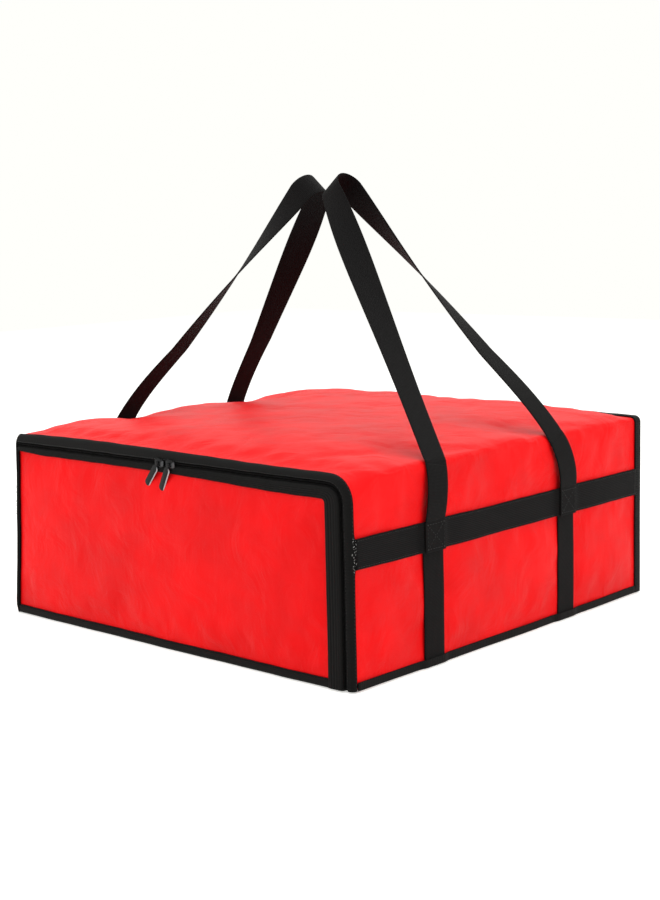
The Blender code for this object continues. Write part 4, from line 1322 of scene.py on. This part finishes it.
    def set_down(self, name, curve, place, highlight_share=0.0):
        """Turn a curve into a welded mesh, set in its place, with a share of painted highlight along one rim."""
        obj = new_object(name, curve)
        bpy.context.view_layer.update()
        mesh = bpy.data.meshes.new_from_object(obj.evaluated_get(bpy.context.evaluated_depsgraph_get()))
        bpy.data.objects.remove(obj)
        weld = bmesh.new()
        weld.from_mesh(mesh)
        bmesh.ops.remove_doubles(weld, verts=weld.verts, dist=0.00002)
        # Mark the rim at the far x end for the painted highlight
        worn = weld.verts.layers.float.new("worn")
        far = max(v.co.x for v in weld.verts)
        for vert in weld.verts:
            vert[worn] = float(rise(vert.co.x / far, 0.84, 0.93)) * highlight_share
        bmesh.ops.transform(weld, matrix=place, verts=weld.verts)
        bmesh.ops.recalc_face_normals(weld, faces=weld.faces)
        weld.to_mesh(mesh)
        weld.free()
        return new_object(name, mesh)


class CARRIER_OT_stitches(Operator):
    """Sew the bindings, the bands and the crossed squares of the handle ends"""

    bl_idname = "carrier.stitches"
    bl_label = "Stitches"

    def execute(self, context):
        stitches("mouth_stitches",
                 [mouth_line(-0.0006, TAPE_BACK - 0.0014), mouth_line(0.0062, FRONT - 0.0002)], "bag")
        stitches("flap_stitches", [mouth_line(FLAP_INSET + 0.0012, FRONT - 0.0006)], "flap")
        stitches("back_stitches", [mouth_line(-0.0016, BACK - 0.0095, BACK_RADII),
                                   mouth_line(0.0095, BACK + 0.0016, BACK_RADII)], "bag")
        surface = WEB_THICKNESS / 2 + 0.00005
        half = WEB_WIDTH / 2 - STITCH_INSET
        low, high = BAND_BOTTOM + STITCH_INSET, BAND_TOP - STITCH_INSET
        for name in SIDES:
            lines = []
            ends = [TAPE_BACK + 0.004]
            for y in STRAP_Y[name].values():
                corners = [(y - half, low), (y + half, low), (y + half, high), (y - half, high)]
                for a, b in ((0, 1), (1, 2), (2, 3), (3, 0), (0, 2), (1, 3)):
                    lines.append(self.on_side(name, corners[a], corners[b], web_out(3) + surface))
                ends += [y - WEB_WIDTH / 2 - 0.009, y + WEB_WIDTH / 2 + 0.009]
            ends.append(BACK - BACK_BINDING_WIDTH - 0.002)
            for start, end in zip(ends[::2], ends[1::2]):
                for z in (BAND_BOTTOM + 0.0022, BAND_TOP - 0.0022):
                    lines.append(self.on_side(name, (start, z), (end, z), web_out(1) + surface))
            stitches(f"{name}_side_stitches", lines, "bag", "black_webbing")
            self.fray(name)
        return {"FINISHED"}

    def fray(self, name):
        """Pale cut threads where a band's end is caught under the tape of the mouth."""
        zs = np.linspace(BAND_BOTTOM - 0.001, BAND_TOP + 0.001, 34)
        x, start = SIDES[name] * (HALF + 0.0019), TAPE_BACK - 0.0016
        lines = [[(x, start + 0.0075 * ruffle((shift, 0, z), 330, 3.0), z) for z in zs] for shift in (0.0, 0.5)]
        ends = beads(f"{name}_frayed_ends", lines, FRAY_PITCH, FRAY_SIZE, "fray", uneven=0.7)
        dress(ends, "black_binding", "bag", finish="fray")

    def on_side(self, name, start, end, out):
        """A straight line of points on the webbing of a side."""
        ys, zs = (np.linspace(start[k], end[k], 24) for k in (0, 1))
        return [(SIDES[name] * (out + float(side_swell(name, y, z))), y, z) for y, z in zip(ys, zs)]


OPERATORS = (
    CARRIER_OT_stage, CARRIER_OT_foam, CARRIER_OT_wrap, CARRIER_OT_panels, CARRIER_OT_lining,
    CARRIER_OT_bindings, CARRIER_OT_flap, CARRIER_OT_zip, CARRIER_OT_sides, CARRIER_OT_handles,
    CARRIER_OT_sliders, CARRIER_OT_stitches,
)


class CARRIER_PT_panel(Panel):
    """Sizes, colours and pieces of the carrier"""

    bl_label = "Carrier"
    bl_idname = "CARRIER_PT_panel"
    bl_space_type = "VIEW_3D"
    bl_region_type = "UI"
    bl_category = "Carrier"

    def draw(self, context):
        for group in (context.scene.carrier_sizes, context.scene.carrier_colours):
            box = self.layout.box()
            for key in group.__annotations__:
                box.prop(group, key)
        for operator in OPERATORS:
            self.layout.operator(operator.bl_idname)


CLASSES = (CarrierSizes, CarrierColours, *OPERATORS, CARRIER_PT_panel)


def register():
    """Register the classes and hang the properties on the scene."""
    for cls in CLASSES:
        bpy.utils.register_class(cls)
    bpy.types.Scene.carrier_sizes = PointerProperty(type=CarrierSizes)
    bpy.types.Scene.carrier_colours = PointerProperty(type=CarrierColours)


def unregister():
    """Take both off again."""
    del bpy.types.Scene.carrier_colours
    del bpy.types.Scene.carrier_sizes
    for cls in reversed(CLASSES):
        bpy.utils.unregister_class(cls)


def main():
    """Build every piece."""
    register()
    for operator in OPERATORS:
        name = operator.bl_idname.split(".")[1]
        getattr(bpy.ops.carrier, name)()


if __name__ == "__main__":
    main()
